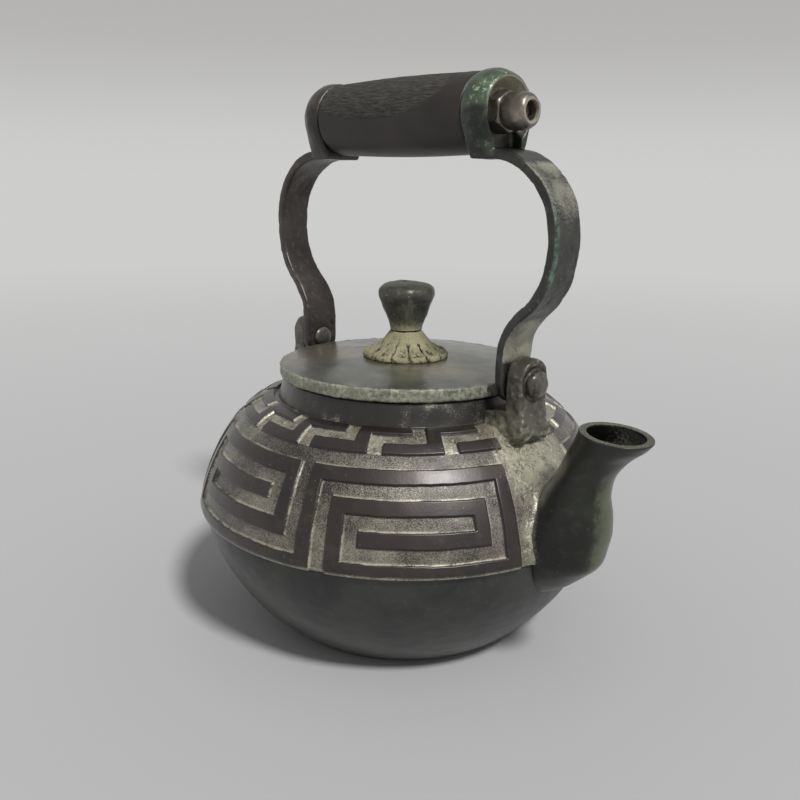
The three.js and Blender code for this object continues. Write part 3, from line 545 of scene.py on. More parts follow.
# Millimetres from each point to the nearest side of a bar, over 0 on a bar and under 0 on the ground. Then 1
# where that side faces up or the spout, which light and dust reach, and 0 where it faces down or away.
def barDistance(angles, distances, radii, start, foot, top, columns):
    sides = start + np.concatenate([[0], np.cumsum([width for width, _ in columns])])
    levels = np.linspace(foot, top, len(columns[0][1]) + 1)
    marks = np.array([[sign == "#" for sign in signs[::-1]] for _, signs in columns]).T
    padded = np.pad(marks, ((1, 1), (0, 0)))
    local = (angles - start) % 360 + start
    column = np.clip(np.searchsorted(sides, local, side="right") - 1, 0, len(columns) - 1)
    row = np.clip(np.searchsorted(levels, distances, side="right"), 0, len(levels))
    here = padded[row][:, column]
    arc = radii[:, None] * turn / 360
    sideways = {-1: (local - sides[column])[None] * arc, 1: (sides[column + 1] - local)[None] * arc}
    below = np.where(row > 0, distances - levels[np.maximum(row - 1, 0)], 99)
    above = np.where(row < len(levels), levels[np.minimum(row, len(levels) - 1)] - distances, 99)
    upwards = {-1: below[:, None] + 0 * arc, 1: above[:, None] + 0 * arc}
    nearest = np.full(here.shape, 9.0)
    facesLight = np.zeros(here.shape)
    toSpout = np.where(np.sin(np.radians(angles)) > 0, 1, -1)[None]
    for aside in (-1, 0, 1):
        for over in (-1, 0, 1):
            if aside == over == 0:
                continue
            there = padded[np.clip(row + over, 0, len(padded) - 1)][:, (column + aside) % len(columns)]
            far = np.hypot(sideways[aside] if aside else 0, upwards[over] if over else 0)
            closer = (there != here) & (far < nearest)
            nearest = np.where(closer, far, nearest)
            lit = (aside * toSpout - over) * np.where(here, -1, 1) > 0
            facesLight = np.where(closer, lit, facesLight)
    return np.where(here, nearest, -nearest), facesLight


# Lines at set places beside every edge, and more between, so that none is further apart than step
def linesBeside(groups, step, first, last):
    lines = [np.array([first, last])]
    for edges, offsets in groups:
        lines += [np.asarray(edges) + offset for offset in offsets]
    lines = np.unique(np.round(np.concatenate(lines), 4))
    lines = lines[(lines >= first) & (lines <= last)]
    lines = lines[np.concatenate([[True], np.diff(lines) > step * 0.05])]
    counts = np.maximum(1, np.ceil(np.diff(lines) / step).astype(int))
    runs = [np.linspace(a, b, n, endpoint=False) for a, b, n in zip(lines[:-1], lines[1:], counts)]
    return np.concatenate(runs)


# Spout sections: height over the seam, middle from the waist, half length and half width
spout = {
    "stations": [
        (-14.4, -13.4, 7, 6.5), (-10.4, -8.9, 9.4, 8.4), (-5.4, -6.5, 13.1, 11.2), (0.6, -4.3, 16.2, 13.1),
        (7.6, -2.3, 15.8, 13.7), (15.6, 1.4, 12.6, 11), (22.6, 2.6, 10.3, 9.5), (29.6, 5.8, 8.7, 8.9),
        (35.6, 9.4, 9.4, 9.2), (40.4, 13.4, 10.9, 10), (43.2, 14.7, 11.1, 10.5),
    ],
    "wall": 2.3, "lipTilt": 5, "boreStart": 0.16, "lipRound": 0.5, "columns": 84, "channelRadius": 7.5,
    "channelRise": 12.2, "sunk": 0.9, "fillet": 0.7, "skin": [(0.16, 15, 8), (0.04, 4, 9)], "rootDust": 0.75,
    "mouthDust": 0.74, "lipDust": 0.52, "sheenShare": 0.72, "sheenWay": (0.69, 0.73, 0),
}
spoutStations = np.array(spout["stations"])


# Share of the way along the stations at a height over the seam
def spoutShare(height):
    return np.interp(height, spoutStations[:, 0], np.linspace(0, 1, len(spoutStations)))


# Middle (height, offset) and half length and width of the sections, on smooth curves through the stations
def spoutSections(shares):
    return through(spoutStations[:, [0, 1]], shares), through(spoutStations[:, [2, 3]], shares)


# Ellipses carried up the outside, over the lip and down the bore, then cut off where they enter the pot
def makeSpout():
    wall, roll = spout["wall"], spout["lipRound"]
    rise = np.linspace(0, 1, 84)
    fall = np.linspace(1, spout["boreStart"], 60)[1:]
    lip = outlineOf([(0, -roll, 0), (0, 0, roll), (wall, 0, roll), (wall, -roll, 0)], 0.25, 4)[1:]
    shares = np.concatenate([rise, np.ones(len(lip)), fall])
    inset = np.concatenate([0 * rise, lip[:, 0], wall + 0 * fall])[:, None]
    lift = np.concatenate([-roll * ease(rise, 0.9, 1), lip[:, 1], -roll * ease(fall, 0.9, 1)])
    middle, half = spoutSections(shares)
    angle = np.arange(spout["columns"]) / spout["columns"] * turn
    x = (half[:, :1] - inset) * np.cos(angle)
    y = (half[:, 1:] - inset) * np.sin(angle)
    tilt = np.tan(np.radians(spout["lipTilt"]))
    z = pot["seamHeight"] + middle[:, :1] + lift[:, None] - tilt * shares[:, None] ** 6 * x
    grid = np.stack([pot["waistRadius"] + middle[:, 1:] + x, y, z], -1)
    calm = (1 - shares[:, None] ** 8)[..., None]  # the lip keeps its true reach
    piece = surface("spout_casting", capped(grid + (uneven(grid, spout["skin"]) - grid) * calm))
    sunk = relief["depth"] + spout["sunk"]
    inside = np.stack(offWall(shellCurve, np.linspace(0, shellLength, 60), -sunk), 1)
    under = np.stack(offWall(bowlCurve, np.linspace(0, bowlLength, 40), -spout["sunk"]), 1)
    cutter = np.vstack([[[0, under[-1, 1]]], under[::-1], inside, [[inside[-1, 0], 110], [0, 110]]])
    combined(piece, surface("pot_inside", turned(cutter, 180)))

    # Dust at the root, in the mouth and on the lip, and a painted olive sheen on the side away from the pot
    points, normals = pointsOf(piece)
    outX, level = points[:, 0] - pot["waistRadius"], points[:, 2]
    bottom, _ = offWall(shellCurve, np.clip(np.interp(level, shellCurve[2], shellCurve[0]), 0, 99), 0)
    fromPot = np.maximum(np.hypot(points[:, 0], points[:, 1]) - bottom, 0)
    root = spout["rootDust"] * np.exp(-fromPot / 1.6) * ease(level, 38, 52)
    section, size = spoutSections(spoutShare(level - pot["seamHeight"]))
    fromMiddle = np.hypot((outX - section[:, 1]) / size[:, 0], points[:, 1] / size[:, 1])
    mouth = spout["mouthDust"] * ease(-fromMiddle, -0.86, -0.7) * ease(level, 70, 82)
    lipTop = pot["seamHeight"] + spoutStations[-1, 0] - tilt * (outX - spoutStations[-1, 1])
    onLip = spout["lipDust"] * ease(normals[:, 2], 0.5, 0.9) * ease(level - lipTop, -1.5, -0.6)
    # painted sheen: a lighter olive tone on the side that faces this way
    sheenShare = spout["sheenShare"] * ease(normals @ spout["sheenWay"], -0.1, 0.7) * ease(-level, -86, -72)
    setPoints(piece, points, dust=np.maximum.reduce([root, mouth, onLip]), stain=sheenShare)
    return dress(piece, spoutBronze, "pot", "spout_bronze", "spout")


# How far points near the shell stand off the spout, in millimetres
def fromSpout(x, y, z):
    share = spoutShare(z - pot["seamHeight"])
    section, size = spoutSections(share.ravel())
    middle = section[:, 1].reshape(share.shape) + pot["waistRadius"]
    long, wide = size[:, 0].reshape(share.shape), size[:, 1].reshape(share.shape)
    return (np.hypot((x - middle) / long, y / wide) - 1) * wide


# Angles round the shell and distances up its wall of the grid's lines, close together beside the bars' sides
def shellLines(spirals, links):
    slopes = np.array(relief["slopes"])
    beside = np.unique(np.concatenate([slopes, -slopes, [-relief["beyond"], relief["beyond"]]]))
    start, perDegree = relief["firstAngle"], turn / 360
    groups = []
    for columns, first, radius in ((spirals, relief["halfGap"], relief["spiralRadius"]),
                                   (links, relief["bandStart"], relief["linkRadius"])):
        sides = first + np.cumsum([width for width, _ in columns])
        groups.append(((sides - start) % 360 + start, beside / (radius * perDegree)))
    angles = linesBeside(groups, relief["columnStep"], start, start + 360)
    levels = np.concatenate([np.linspace(0, spiralTop, len(spiralPanel) + 1),
                             np.linspace(linkFoot, linkTop, len(linkUnit) + 1)])
    distances = linesBeside([(levels, beside)], relief["rowStep"], 0, linkTop + 0.9)
    return angles, np.append(distances, linkTop + 1)


# The plain neck, the mouth and the inside down to the waist joint, from the relief's last row on
def neckAndInside(last, angle):
    neck, mouth, soft = pot["neckTopRadius"], pot["mouthRadius"], pot["mouthRound"]
    inner = np.stack(offWall(shellCurve, np.linspace(shellLength, 0, 12), -relief["depth"] - pot["wall"]), 1)
    inner = inner[inner[:, 0] > mouth + 0.5]
    shoulder = pot["shoulderHeight"] - relief["depth"]
    rest = outlineOf([
        (*last, 0), (pot["shoulderRadius"], shoulder, 2 * soft), (neck, neckTop, soft),
        (mouth, neckTop, soft), (mouth, inner[0, 1] - 1, soft), (*inner[0], 0),
    ], 2.6, 4)[1:]
    rest = np.vstack([rest, inner[1:]])
    circle = np.stack([np.cos(angle), np.sin(angle)], -1)
    level = np.broadcast_to(rest[:, None, 1:], (len(rest), len(angle), 1))
    return uneven(np.concatenate([rest[:, None, :1] * circle[None], level], -1), relief["neckSkin"])


# Sediment on the relief: how much lies where, and how wide, far and near the heaps at the lugs reach
sediment = {
    "ground": 0.5, "lowOnWall": 0.1, "band": 0.1, "bandGround": 0.3, "spoutReach": 6, "onGround": 1.1,
    "onBars": 0.4, "lugX": 58, "front": (1.15, 21, 11), "rear": (1.1, 17, 9), "rearShare": 0.5, "seam": 1.3,
    "neck": 0.16, "neckPatches": 0.3,
}


# Dust number on the relief: full in the ground, thickest low on the wall and heaped round the spout and the
# lugs, where it falls off with distance, and a line of it along the waist joint
def sedimentOn(side, distances, x, y, nearSpout):
    low = ease(-distances, -26, -4)[:, None]
    onGround = ease(-side, -0.02, 0.12) * (sediment["ground"] + sediment["lowOnWall"] * low)
    inBand = ((distances > linkFoot) & (distances < linkTop))[:, None]
    inLinks = onGround + sediment["bandGround"] * ease(-side, 0, 0.3) + sediment["band"]
    onGround = np.where(inBand, inLinks, onGround)
    heap = np.exp(-(np.clip(nearSpout, 0, 30) / sediment["spoutReach"]) ** 2) * ease(x, 0, 30)
    for way, share, (wide, far, near) in ((-1, 1, sediment["front"]),
                                          (1, sediment["rearShare"], sediment["rear"])):
        fromLug = np.hypot((x + way * sediment["lugX"]) / wide, y)
        heap = np.maximum(heap, share * ease(-fromLug, -far, -near))
    seam = sediment["seam"] * ease(-distances, -0.75, -0.35)[:, None]
    return np.maximum.reduce([onGround, sediment["onGround"] * heap * ease(-side, -0.6, 0.3),
                              sediment["onBars"] * heap, seam + 0 * side])


# Each point goes out from the wall curve by a height that falls from a bar to the ground over a short slope.
# The bars' sides wander a little, and a small bead of metal rises round the spout.
def makeShell():
    spirals, links = spiralColumns(), linkColumns()
    angles, distances = shellLines(spirals, links)
    radii, _ = offWall(shellCurve, distances, 0)
    big, bigLit = barDistance(angles, distances, radii, relief["halfGap"], 0, spiralTop, spirals)
    small, smallLit = barDistance(angles, distances, radii, relief["bandStart"], linkFoot, linkTop, links)
    inLow = (distances < linkFoot - relief["plainRing"] / 2)[:, None]
    side, lit = np.where(inLow, big, small), np.where(inLow, bigLit, smallLit)
    heights = np.interp(side, relief["slopes"], relief["levels"]) * relief["depth"]
    angle = np.radians(angles)[None]
    flat = np.stack([radii[:, None] * np.cos(angle), radii[:, None] * np.sin(angle),
                     distances[:, None] + 0 * angle], -1)
    ends = ease(distances, 0, 3)[:, None] * ease(-distances, -linkTop, -linkTop + 2)[:, None]
    chips = relief["chips"] * swells(flat, 3, 27)
    across = (swells(flat, 22, 21) * relief["wander"] + chips) / radii[:, None]
    along = distances[:, None] + (swells(flat, 24, 22) * relief["wander"] + chips) * ends
    onBar = heights > -0.5
    heights += relief["barSwell"] * swells(flat, 9, 23) * onBar
    heights += relief["grains"] * swells(flat, 2.2, 24) * ~onBar
    foot = pot["shellFootRound"]
    short = np.clip(foot - distances, 0, foot)[:, None]
    heights = heights - (foot - np.sqrt(foot ** 2 - short ** 2))
    where = angle + across
    radius, height = offWall(shellCurve, along, heights)
    nearSpout = fromSpout(radius * np.cos(where), radius * np.sin(where), height)
    bead = spout["fillet"] * np.exp(-(np.clip(nearSpout, 0, 9) / 1.1) ** 2)
    bead = bead * ease(radius * np.cos(where), 0, 30) * (1 + 0.35 * swells(flat, 3, 25))
    radius, height = offWall(shellCurve, along, heights + bead)
    x, y = radius * np.cos(where), radius * np.sin(where)
    last = np.stack(offWall(shellCurve, distances[-1:], -relief["depth"]), 1)[0]
    more = neckAndInside(last, angle[0])
    below = more.shape[:2]
    numbers = {
        "dust": (sedimentOn(side, distances, x, y, nearSpout),
                 sediment["neck"] + sediment["neckPatches"] * swells(more, 7, 28)),
        "lit": (lit, np.zeros(below)), "edge": (np.clip(side, -2, 2), np.full(below, 2.0)),
        # the neck, the mouth and the inside carry 1 here, and the material paints them darker as shade
        "stain": (0 * side, np.ones(below)),
    }
    piece = surface("shell_casting", np.concatenate([np.stack([x, y, height], -1), more]), joinRows=True,
                    **{word: np.concatenate(parts) for word, parts in numbers.items()})
    drilled(piece, spout["channelRadius"], 40, 78, 48, pot["seamHeight"] + spout["channelRise"])
    return dress(piece, shellBronze, "pot", "shell_bronze", "upper_shell")


# Lugs with a block under the arm and a rough foot, and the riveted pins
lug = {
    "pivotHeight": 97, "inner": 51.75, "outer": 58.75, "halfWidth": 6.3, "topRise": 8, "ledge": 88.5,
    "footHalfWidth": 7.6, "splay": 1.6, "root": 43.5, "edge": 1.2, "toe": 79.5, "tuck": 4.5,
    "crownRound": 0.9, "scoop": 0.8, "waves": 0.13, "roughTop": 0.16, "roughFoot": 0.75, "dust": 0.1,
    "footDust": 0.6,
}
pin = {"radius": 2.6, "innerHead": 3.9, "innerRise": 1.6, "outerHead": 4.5, "outerRise": 2.6,
       "armInner": 47.95}


# Rounded rectangles, one for each row: centre x, half length, half width and corner size
def roundedSections(x, halfX, halfY, corner, z, perCorner=8, perSide=5):
    corner = np.minimum(corner, np.minimum(halfX, halfY) * 0.98)
    angle = np.linspace(0, quarter, perCorner)
    parts = []
    for k, (signX, signY) in enumerate([(1, 1), (-1, 1), (-1, -1), (1, -1)]):
        bend = angle + k * quarter
        px = x[:, None] + signX * (halfX - corner)[:, None] + corner[:, None] * np.cos(bend)
        py = signY * (halfY - corner)[:, None] + corner[:, None] * np.sin(bend)
        parts.append(np.stack([px, py], -1))
    ring = []
    for k in range(4):
        ring.append(parts[k])
        start, end = parts[k][:, -1:], parts[(k + 1) % 4][:, :1]
        share = (np.arange(1, perSide + 1) / (perSide + 1))[None, :, None]
        ring.append(start + (end - start) * share)
    ring = np.concatenate(ring, 1)
    return np.concatenate([ring, np.broadcast_to(z[:, None, None], (*ring.shape[:2], 1))], -1)


# Rounded rectangles stacked up the lug: they flare and tuck in at the foot, step back over the block and
# close in a half round. The face is scooped out round the rivet, and the skin is roughest at the foot.
def makeLug(name, node, way, seed):
    wide, toe, ledge = lug["halfWidth"], lug["toe"], lug["ledge"]
    centre = lug["pivotHeight"] + lug["topRise"] - wide
    bow = np.linspace(0, quarter * 0.995, 26)
    z = np.concatenate([np.linspace(toe - 2.5, centre, 64)[:-1], centre + wide * np.sin(bow)])
    flare = ease(-z, -ledge - 1, -toe - 1)
    tuck = lug["tuck"] * ease(-z, -toe - 1.5, 2.5 - toe) ** 1.5
    crown = np.clip((z - centre) / wide, 0, 1)
    foot = wide + (lug["footHalfWidth"] - wide) * flare ** 1.5
    halfY = np.where(z > centre, wide * np.sqrt(1 - crown ** 2), foot)
    rounded = lug["crownRound"] * ease(crown, 0.75, 1)
    back = lug["root"] + (lug["inner"] - lug["root"]) * ease(z, ledge - 1.9, ledge - 0.5)
    front = lug["outer"] + lug["splay"] * flare - rounded - tuck
    back = back + rounded
    edge = np.full(len(z), lug["edge"])
    grid = roundedSections((front + back) / 2, (front - back) / 2, halfY, edge, z, 8, 18)
    normal = facing(grid)
    fromPivot = np.hypot(grid[..., 1], grid[..., 2] - lug["pivotHeight"])
    outward = normal[..., 0] * np.sign((normal * (grid - grid.mean((0, 1)))).sum())
    # Smooth where the arm swings past
    calm = 1 - 0.9 * ease(-outward, 0.3, 0.8) * ease(grid[..., 2], ledge - 3, ledge)
    ring = np.exp(-((fromPivot - pin["outerHead"] - 0.3) / 0.9) ** 2)
    grid[..., 0] -= lug["scoop"] * ring * ease(outward, 0.6, 0.95)
    rough = lug["roughTop"] + lug["roughFoot"] * ease(-z, -90, -79)
    grid += normal * (lug["waves"] * swells(grid, 7, seed) * calm)[..., None]
    grid += normal * (swells(grid, 2.4, seed + 1) * rough[:, None] * 0.45 * calm)[..., None]
    patches = 0.7 + 0.4 * swells(grid, 3, seed + 2)
    dust = lug["dust"] + lug["footDust"] * ease(-grid[..., 2], -90, -80) * patches
    grid[..., 0] *= way
    piece = surface(name, capped(grid), dust=np.concatenate([dust[:1], dust, dust[-1:]]))
    return dress(piece, lugBronze, "pot", "lug_bronze", node)


# A dome, the shank and a larger dome as one outline, hammered uneven
def makePin(name, node, way, seed):
    radius, head = pin["radius"], pin["outerHead"]
    inner, outer = pin["armInner"] - 0.1, lug["outer"] + 0.1
    bend = np.linspace(0, quarter, 12)
    low = np.stack([pin["innerHead"] * np.sin(bend), inner - pin["innerRise"] * np.cos(bend)], 1)
    shank = outlineOf([(*low[-1], 0), (radius, inner + 0.2, 0.1), (radius, outer - 0.2, 0.1),
                       (head, outer - 0.2, 0.2), (head, outer + 0.7, 0.5)], 3)
    high = np.stack([head * np.cos(bend) ** 0.8, outer + 0.8 + (pin["outerRise"] - 0.8) * np.sin(bend)], 1)
    grid = turnedAlongX(np.vstack([low[:-1], shank[:-1], high]), 40, lug["pivotHeight"])
    grid = uneven(grid, [(0.12, 3.2, seed)], axis=0)
    grid[..., 0] *= way
    return dress(surface(name, grid), rivetBronze, "pot", "rivet_bronze", node)


# Lid, rosette and knob, measured from the lid's underside
lid = {
    "base": neckTop + 0.3, "radius": 44.8, "rimHeight": 4.3, "dome": 2.0, "wall": 2.6, "rimRound": 1.0,
    "flangeOuter": 38.4, "flangeWall": 2.4, "flangeDepth": 6, "hole": 2.4, "skin": [(0.07, 14, 31)],
    "rimGrains": 0.13, "rimDust": 0.62, "ringDust": 0.28,
}
rosette = {
    "petals": 14, "radius": 15.0, "thickness": 2.0, "height": 9.0, "scallop": 1.3, "fall": 1.9,
    "groove": 0.55, "notch": 0.5, "panel": 0.75, "rib": 0.4, "roll": 0.7, "bulge": 0.25,
    "skin": [(0.1, 2.6, 41)], "shade": {"groove": 0.75, "notch": 0.75, "panel": 0.34, "skirt": 0.2},
    "dust": 0.8,
}
knob = {
    "neck": 5.6, "radius": 10.0, "widest": 12.7, "height": 17.0, "hole": 1.25, "holeDepth": 5, "bore": 8.3,
    "side": [(7.3, 5.2), (8.7, 8.8), (9.6, 11.0)],
    "crown": [(9.9, 13.7), (9.3, 15.0), (7.7, 16.1), (4.6, 16.75)], "skin": [(0.16, 7, 51), (0.05, 2, 52)],
    "neckDust": 0.5, "sideDust": 0.34,
}


# Height of the lid's domed face over its underside: a parabola
def lidTop(radius):
    return lid["rimHeight"] + lid["dome"] * (1 - (radius / lid["radius"]) ** 2)


# The domed face, the rim, the flange and the hollow underside as one outline
def makeLid():
    hole, rim, soft, wall = lid["hole"], lid["radius"], lid["rimRound"], lid["wall"]
    outer, deep = lid["flangeOuter"], -lid["flangeDepth"]
    inner = outer - lid["flangeWall"]
    across = np.linspace(hole, rim - 1.5, 46)
    under = np.linspace(inner - 1.5, hole, 12)
    top = np.stack([across, lidTop(across)], 1)
    below = np.stack([under, lidTop(under) - wall], 1)
    edge = outlineOf([
        (*top[-1], 0), (rim, lidTop(rim), soft), (rim, 0, soft), (outer, 0, 0.3), (outer, deep, 0.5),
        (inner, deep, 0.5), (inner, lidTop(inner) - wall, 1), (*below[0], 0),
    ], 0.7)
    outline = np.vstack([top[:-1], edge, below[1:]])
    outline[:, 1] += lid["base"]
    grid = uneven(turned(outline, 260), lid["skin"])
    level = grid[..., 2] - lid["base"]
    reach = np.hypot(grid[..., 0], grid[..., 1])
    atRim = ease(reach, rim - 1.6, rim - 0.3) * ease(level, -0.5, 0.6)
    grid = grid + facing(grid) * (swells(grid, 2.4, 33) * lid["rimGrains"] * atRim)[..., None]
    ring = np.exp(-np.abs(reach - rosette["radius"] - 1) / 3) * (level > 3)
    piece = surface("lid_casting", grid, joinRows=True, dust=lid["rimDust"] * atRim + lid["ringDust"] * ring)
    return dress(piece, lidBronze, "lid", "lid_bronze", "lid_plate")


# A flared cone whose edge swings in between the petals. The height loses a thin groove between two petals, a
# notch at its head and a sunken panel on each petal, and gains a rib on each side of the groove.
def makeRosette():
    count = rosette["petals"] * 26
    angle = np.arange(count) / count * turn
    side = np.abs((angle * rosette["petals"] / turn) % 1 - 0.5) * 2
    off = 1 - side  # 1 in the groove and 0 on a petal's middle
    edge = rosette["radius"] - rosette["scallop"] * (1 - np.sqrt(1 - (1 - np.sin(side * quarter)) ** 2))
    share = np.linspace(0, 1, 40)[:, None]
    radius = knob["neck"] + (edge - knob["neck"]) * share
    thick, tall = rosette["thickness"], rosette["height"]
    level = lidTop(radius) + 0.1 + thick + (tall - thick) * (1 - share) ** rosette["fall"]
    groove = rosette["groove"] * ease(share, 0.3, 0.5) * ease(off, 0.86, 0.97)
    notch = rosette["notch"] * ease(off - 0.6 - 2 * (share - 0.32), 0, 0.12) * ease(share, 0.27, 0.33)
    panel = rosette["panel"] * ease(share, 0.42, 0.52) * ease(-share, -0.94, -0.86) * ease(-off, -0.56, -0.46)
    rib = rosette["rib"] * np.exp(-((off - 0.7) / 0.1) ** 2) * ease(share, 0.44, 0.6)
    level = level - groove - notch - panel + rib - rosette["roll"] * ease(share, 0.9, 1) ** 2
    around = np.ones_like(angle)[None]
    skirt = np.linspace(0.15, 1, 5)[:, None]
    bulge = edge + rosette["bulge"] * np.sin(skirt * 2 * quarter)
    skirtLevel = level[-1:] + (lidTop(edge) + 0.1 - level[-1:]) * skirt
    bore, top = lid["hole"], (lidTop(0) + tall + 0.1) * around
    radii = np.concatenate([bore * around, (knob["neck"] - 0.3) * around, radius, bulge, bore * around])
    levels = np.concatenate([top, top, level, skirtLevel, (lidTop(bore) + 0.1) * around])
    grid = np.stack([radii * np.cos(angle), radii * np.sin(angle), levels + lid["base"]], -1)
    grid = uneven(grid, rosette["skin"])
    # Less of the pale dust in the groove, the notch and the panel and on the skirt: painted shade in these
    # hollows
    shade = rosette["shade"]
    paintedHollowShade = shade["groove"] * groove + shade["notch"] * notch + shade["panel"] * panel
    deep = np.concatenate([0 * around, 0 * around, paintedHollowShade, shade["skirt"] + 0 * skirtLevel, 0 * around])
    dust = rosette["dust"] * (1 - ease(deep + 0.14 * swells(grid, 2.2, 42), 0.12, 0.6))
    piece = surface("rosette", grid, joinRows=True, dust=dust)
    return dress(piece, rosetteBronze, "lid", "rosette_bronze", "knob_seat")


# A smooth curve up the side and over the crown, down into the small hole, and the stud's bore from below
def makeKnob():
    foot = lid["base"] + lidTop(0) + rosette["height"] + 0.5
    neck, hole, height = knob["neck"], knob["hole"], knob["height"]
    side = through([(neck, 0), (neck + 0.35, 1.8), *knob["side"], (knob["radius"], knob["widest"]),
                    *knob["crown"], (hole + 0.35, height)], np.linspace(0, 1, 70))
    floor = height - knob["holeDepth"]
    inner = outlineOf([(*side[-1], 0), (hole, height - 0.2, 0.3), (hole, floor, 0.4), (0, floor, 0)])
    bore = outlineOf([(0, knob["bore"], 0), (lid["hole"], knob["bore"], 0), (lid["hole"], 0, 0.2),
                      (*side[0], 0)], 3)
    outline = np.vstack([bore[:-1], side[:-1], inner])
    outline[:, 1] += foot
    grid = uneven(turned(outline, 128), knob["skin"])
    reach = grid[..., 2] - foot
    dust = knob["neckDust"] * ease(-reach, -5.5, 0.5) + knob["sideDust"] * ease(-reach, -12, -4)
    return dress(surface("knob_casting", grid, dust=dust), knobBronze, "lid", "knob_bronze", "knob")


# Handle: straps, collars and grip, measured from the pivots
arm = {
    "thickness": 3.3, "inset": 49.6, "reach": 66.3, "endRadius": 7.3, "bowHalfWidth": 6.3,
    "heelHalfWidth": 7.2, "edge": 0.8, "hollow": 0.16, "voxel": 0.42, "dents": 46, "waves": 0.09,
    "pits": 0.035, "footDust": 0.92, "shoulderDust": 0.72, "cornerDust": 0.3, "dishDust": 1.1,
    "bend": [(0, 0), (0, 0.11), (0.07, 0.205), (0.32, 0.293), (0.65, 0.37), (0.88, 0.46), (0.995, 0.58),
             (1, 0.68), (0.92, 0.772), (0.735, 0.855), (0.44, 0.925), (0.05, 0.98)],
}
grip = {
    "height": 81.5, "halfLength": 34.5, "radius": 13, "endRadius": 12.3, "collarRadius": 12.8,
    "collarLength": 9.3, "lipRadius": 11, "socketRadius": 10.6, "socketDepth": 3.4, "seatDepth": 4.4,
    "dishRadius": 10.1, "seatRadius": 7.2, "nicheHalfWidth": 6.3, "bore": 2.4, "lean": 25,
    "collarShares": (0, 0.06, 0.14, 0.25, 0.4, 0.55, 0.7, 0.82, 0.92, 0.98, 1),
    "collarSwell": (0, 0.35, 0.75, 1, 1, 0.95, 0.72, 0.42, 0.15, -0.05, -0.3), "fibreStretch": 0.14,
    "fibreDepth": 0.035, "sunk": 0.16, "waves": 0.03,
}
gripZ = lug["pivotHeight"] + grip["height"]
collarOuter = grip["halfLength"] + grip["collarLength"]
seatX = collarOuter - grip["seatDepth"]
heelZ = gripZ - grip["collarRadius"] + arm["thickness"] / 2 - 1


# Flat bar section with worn edges and slightly hollow faces, carried along the strap's middle line
def strapGrid():
    pivot = lug["pivotHeight"]
    half = arm["thickness"] / 2
    path = [(arm["inset"] + out * (arm["reach"] - arm["inset"]), pivot + rise * (heelZ - pivot))
            for out, rise in arm["bend"]]
    path += [(collarOuter, heelZ), (grip["halfLength"] + arm["thickness"], heelZ)]
    line, along = evenly(path, 150)
    share = np.linspace(0, 1, len(line))
    ends = np.where(share < 0.5, arm["endRadius"], arm["heelHalfWidth"])
    width = arm["bowHalfWidth"] + (ends - arm["bowHalfWidth"]) * np.cos(share * turn / 2) ** 2
    bend = np.linspace(quarter * 0.97, 0.06, 14)
    under = np.stack([np.full(len(bend), arm["inset"]), pivot - arm["endRadius"] * np.sin(bend)], 1)
    line = np.vstack([under, line])
    along = np.vstack([np.tile([0.0, 1.0], (len(bend), 1)), along])
    width = np.concatenate([arm["endRadius"] * np.cos(bend), width])
    each = np.ones(len(line))
    ring = roundedSections(0 * each, half * each, width, arm["edge"] * each, 0 * each, 5, 9)
    across, y = ring[..., 0], ring[..., 1]
    onFace = 1 - np.clip(np.abs(y) / width[:, None], 0, 1) ** 2
    across = across - np.sign(across) * arm["hollow"] * onFace
    x = line[:, :1] + across * along[:, 1:]
    z = line[:, 1:] - across * along[:, :1]
    return capped(np.stack([x, y, z], -1))


# Collar section at x: a round top that narrows straight down to the strap's width
def collarRing(x, radius):
    foot = heelZ - arm["thickness"] / 2
    lean = np.radians(grip["lean"])
    angle = np.linspace(-lean, turn / 2 + lean, 60)
    y, z = radius * np.cos(angle), gripZ + radius * np.sin(angle)
    share = np.linspace(0, 1, 9)[1:]
    left = np.stack([y[-1] + (-arm["heelHalfWidth"] - y[-1]) * share, z[-1] + (foot - z[-1]) * share], 1)
    right = left[::-1] * [-1, 1]
    ring = np.vstack([np.stack([y, z], 1), left, right])
    return np.column_stack([np.full(len(ring), x), ring])


# Collar sections one after another, swelling from the grip's end and narrowing to the lip
def collarGrid():
    radii = np.empty(len(grip["collarShares"]))
    for part, end in ((slice(0, 3), "endRadius"), (slice(3, None), "lipRadius")):
        radii[part] = grip[end] + (grip["collarRadius"] - grip[end]) * np.array(grip["collarSwell"])[part]
    places = [grip["halfLength"] + share * grip["collarLength"] for share in grip["collarShares"]]
    return capped(np.stack([collarRing(x, radius) for x, radius in zip(places, radii)]))


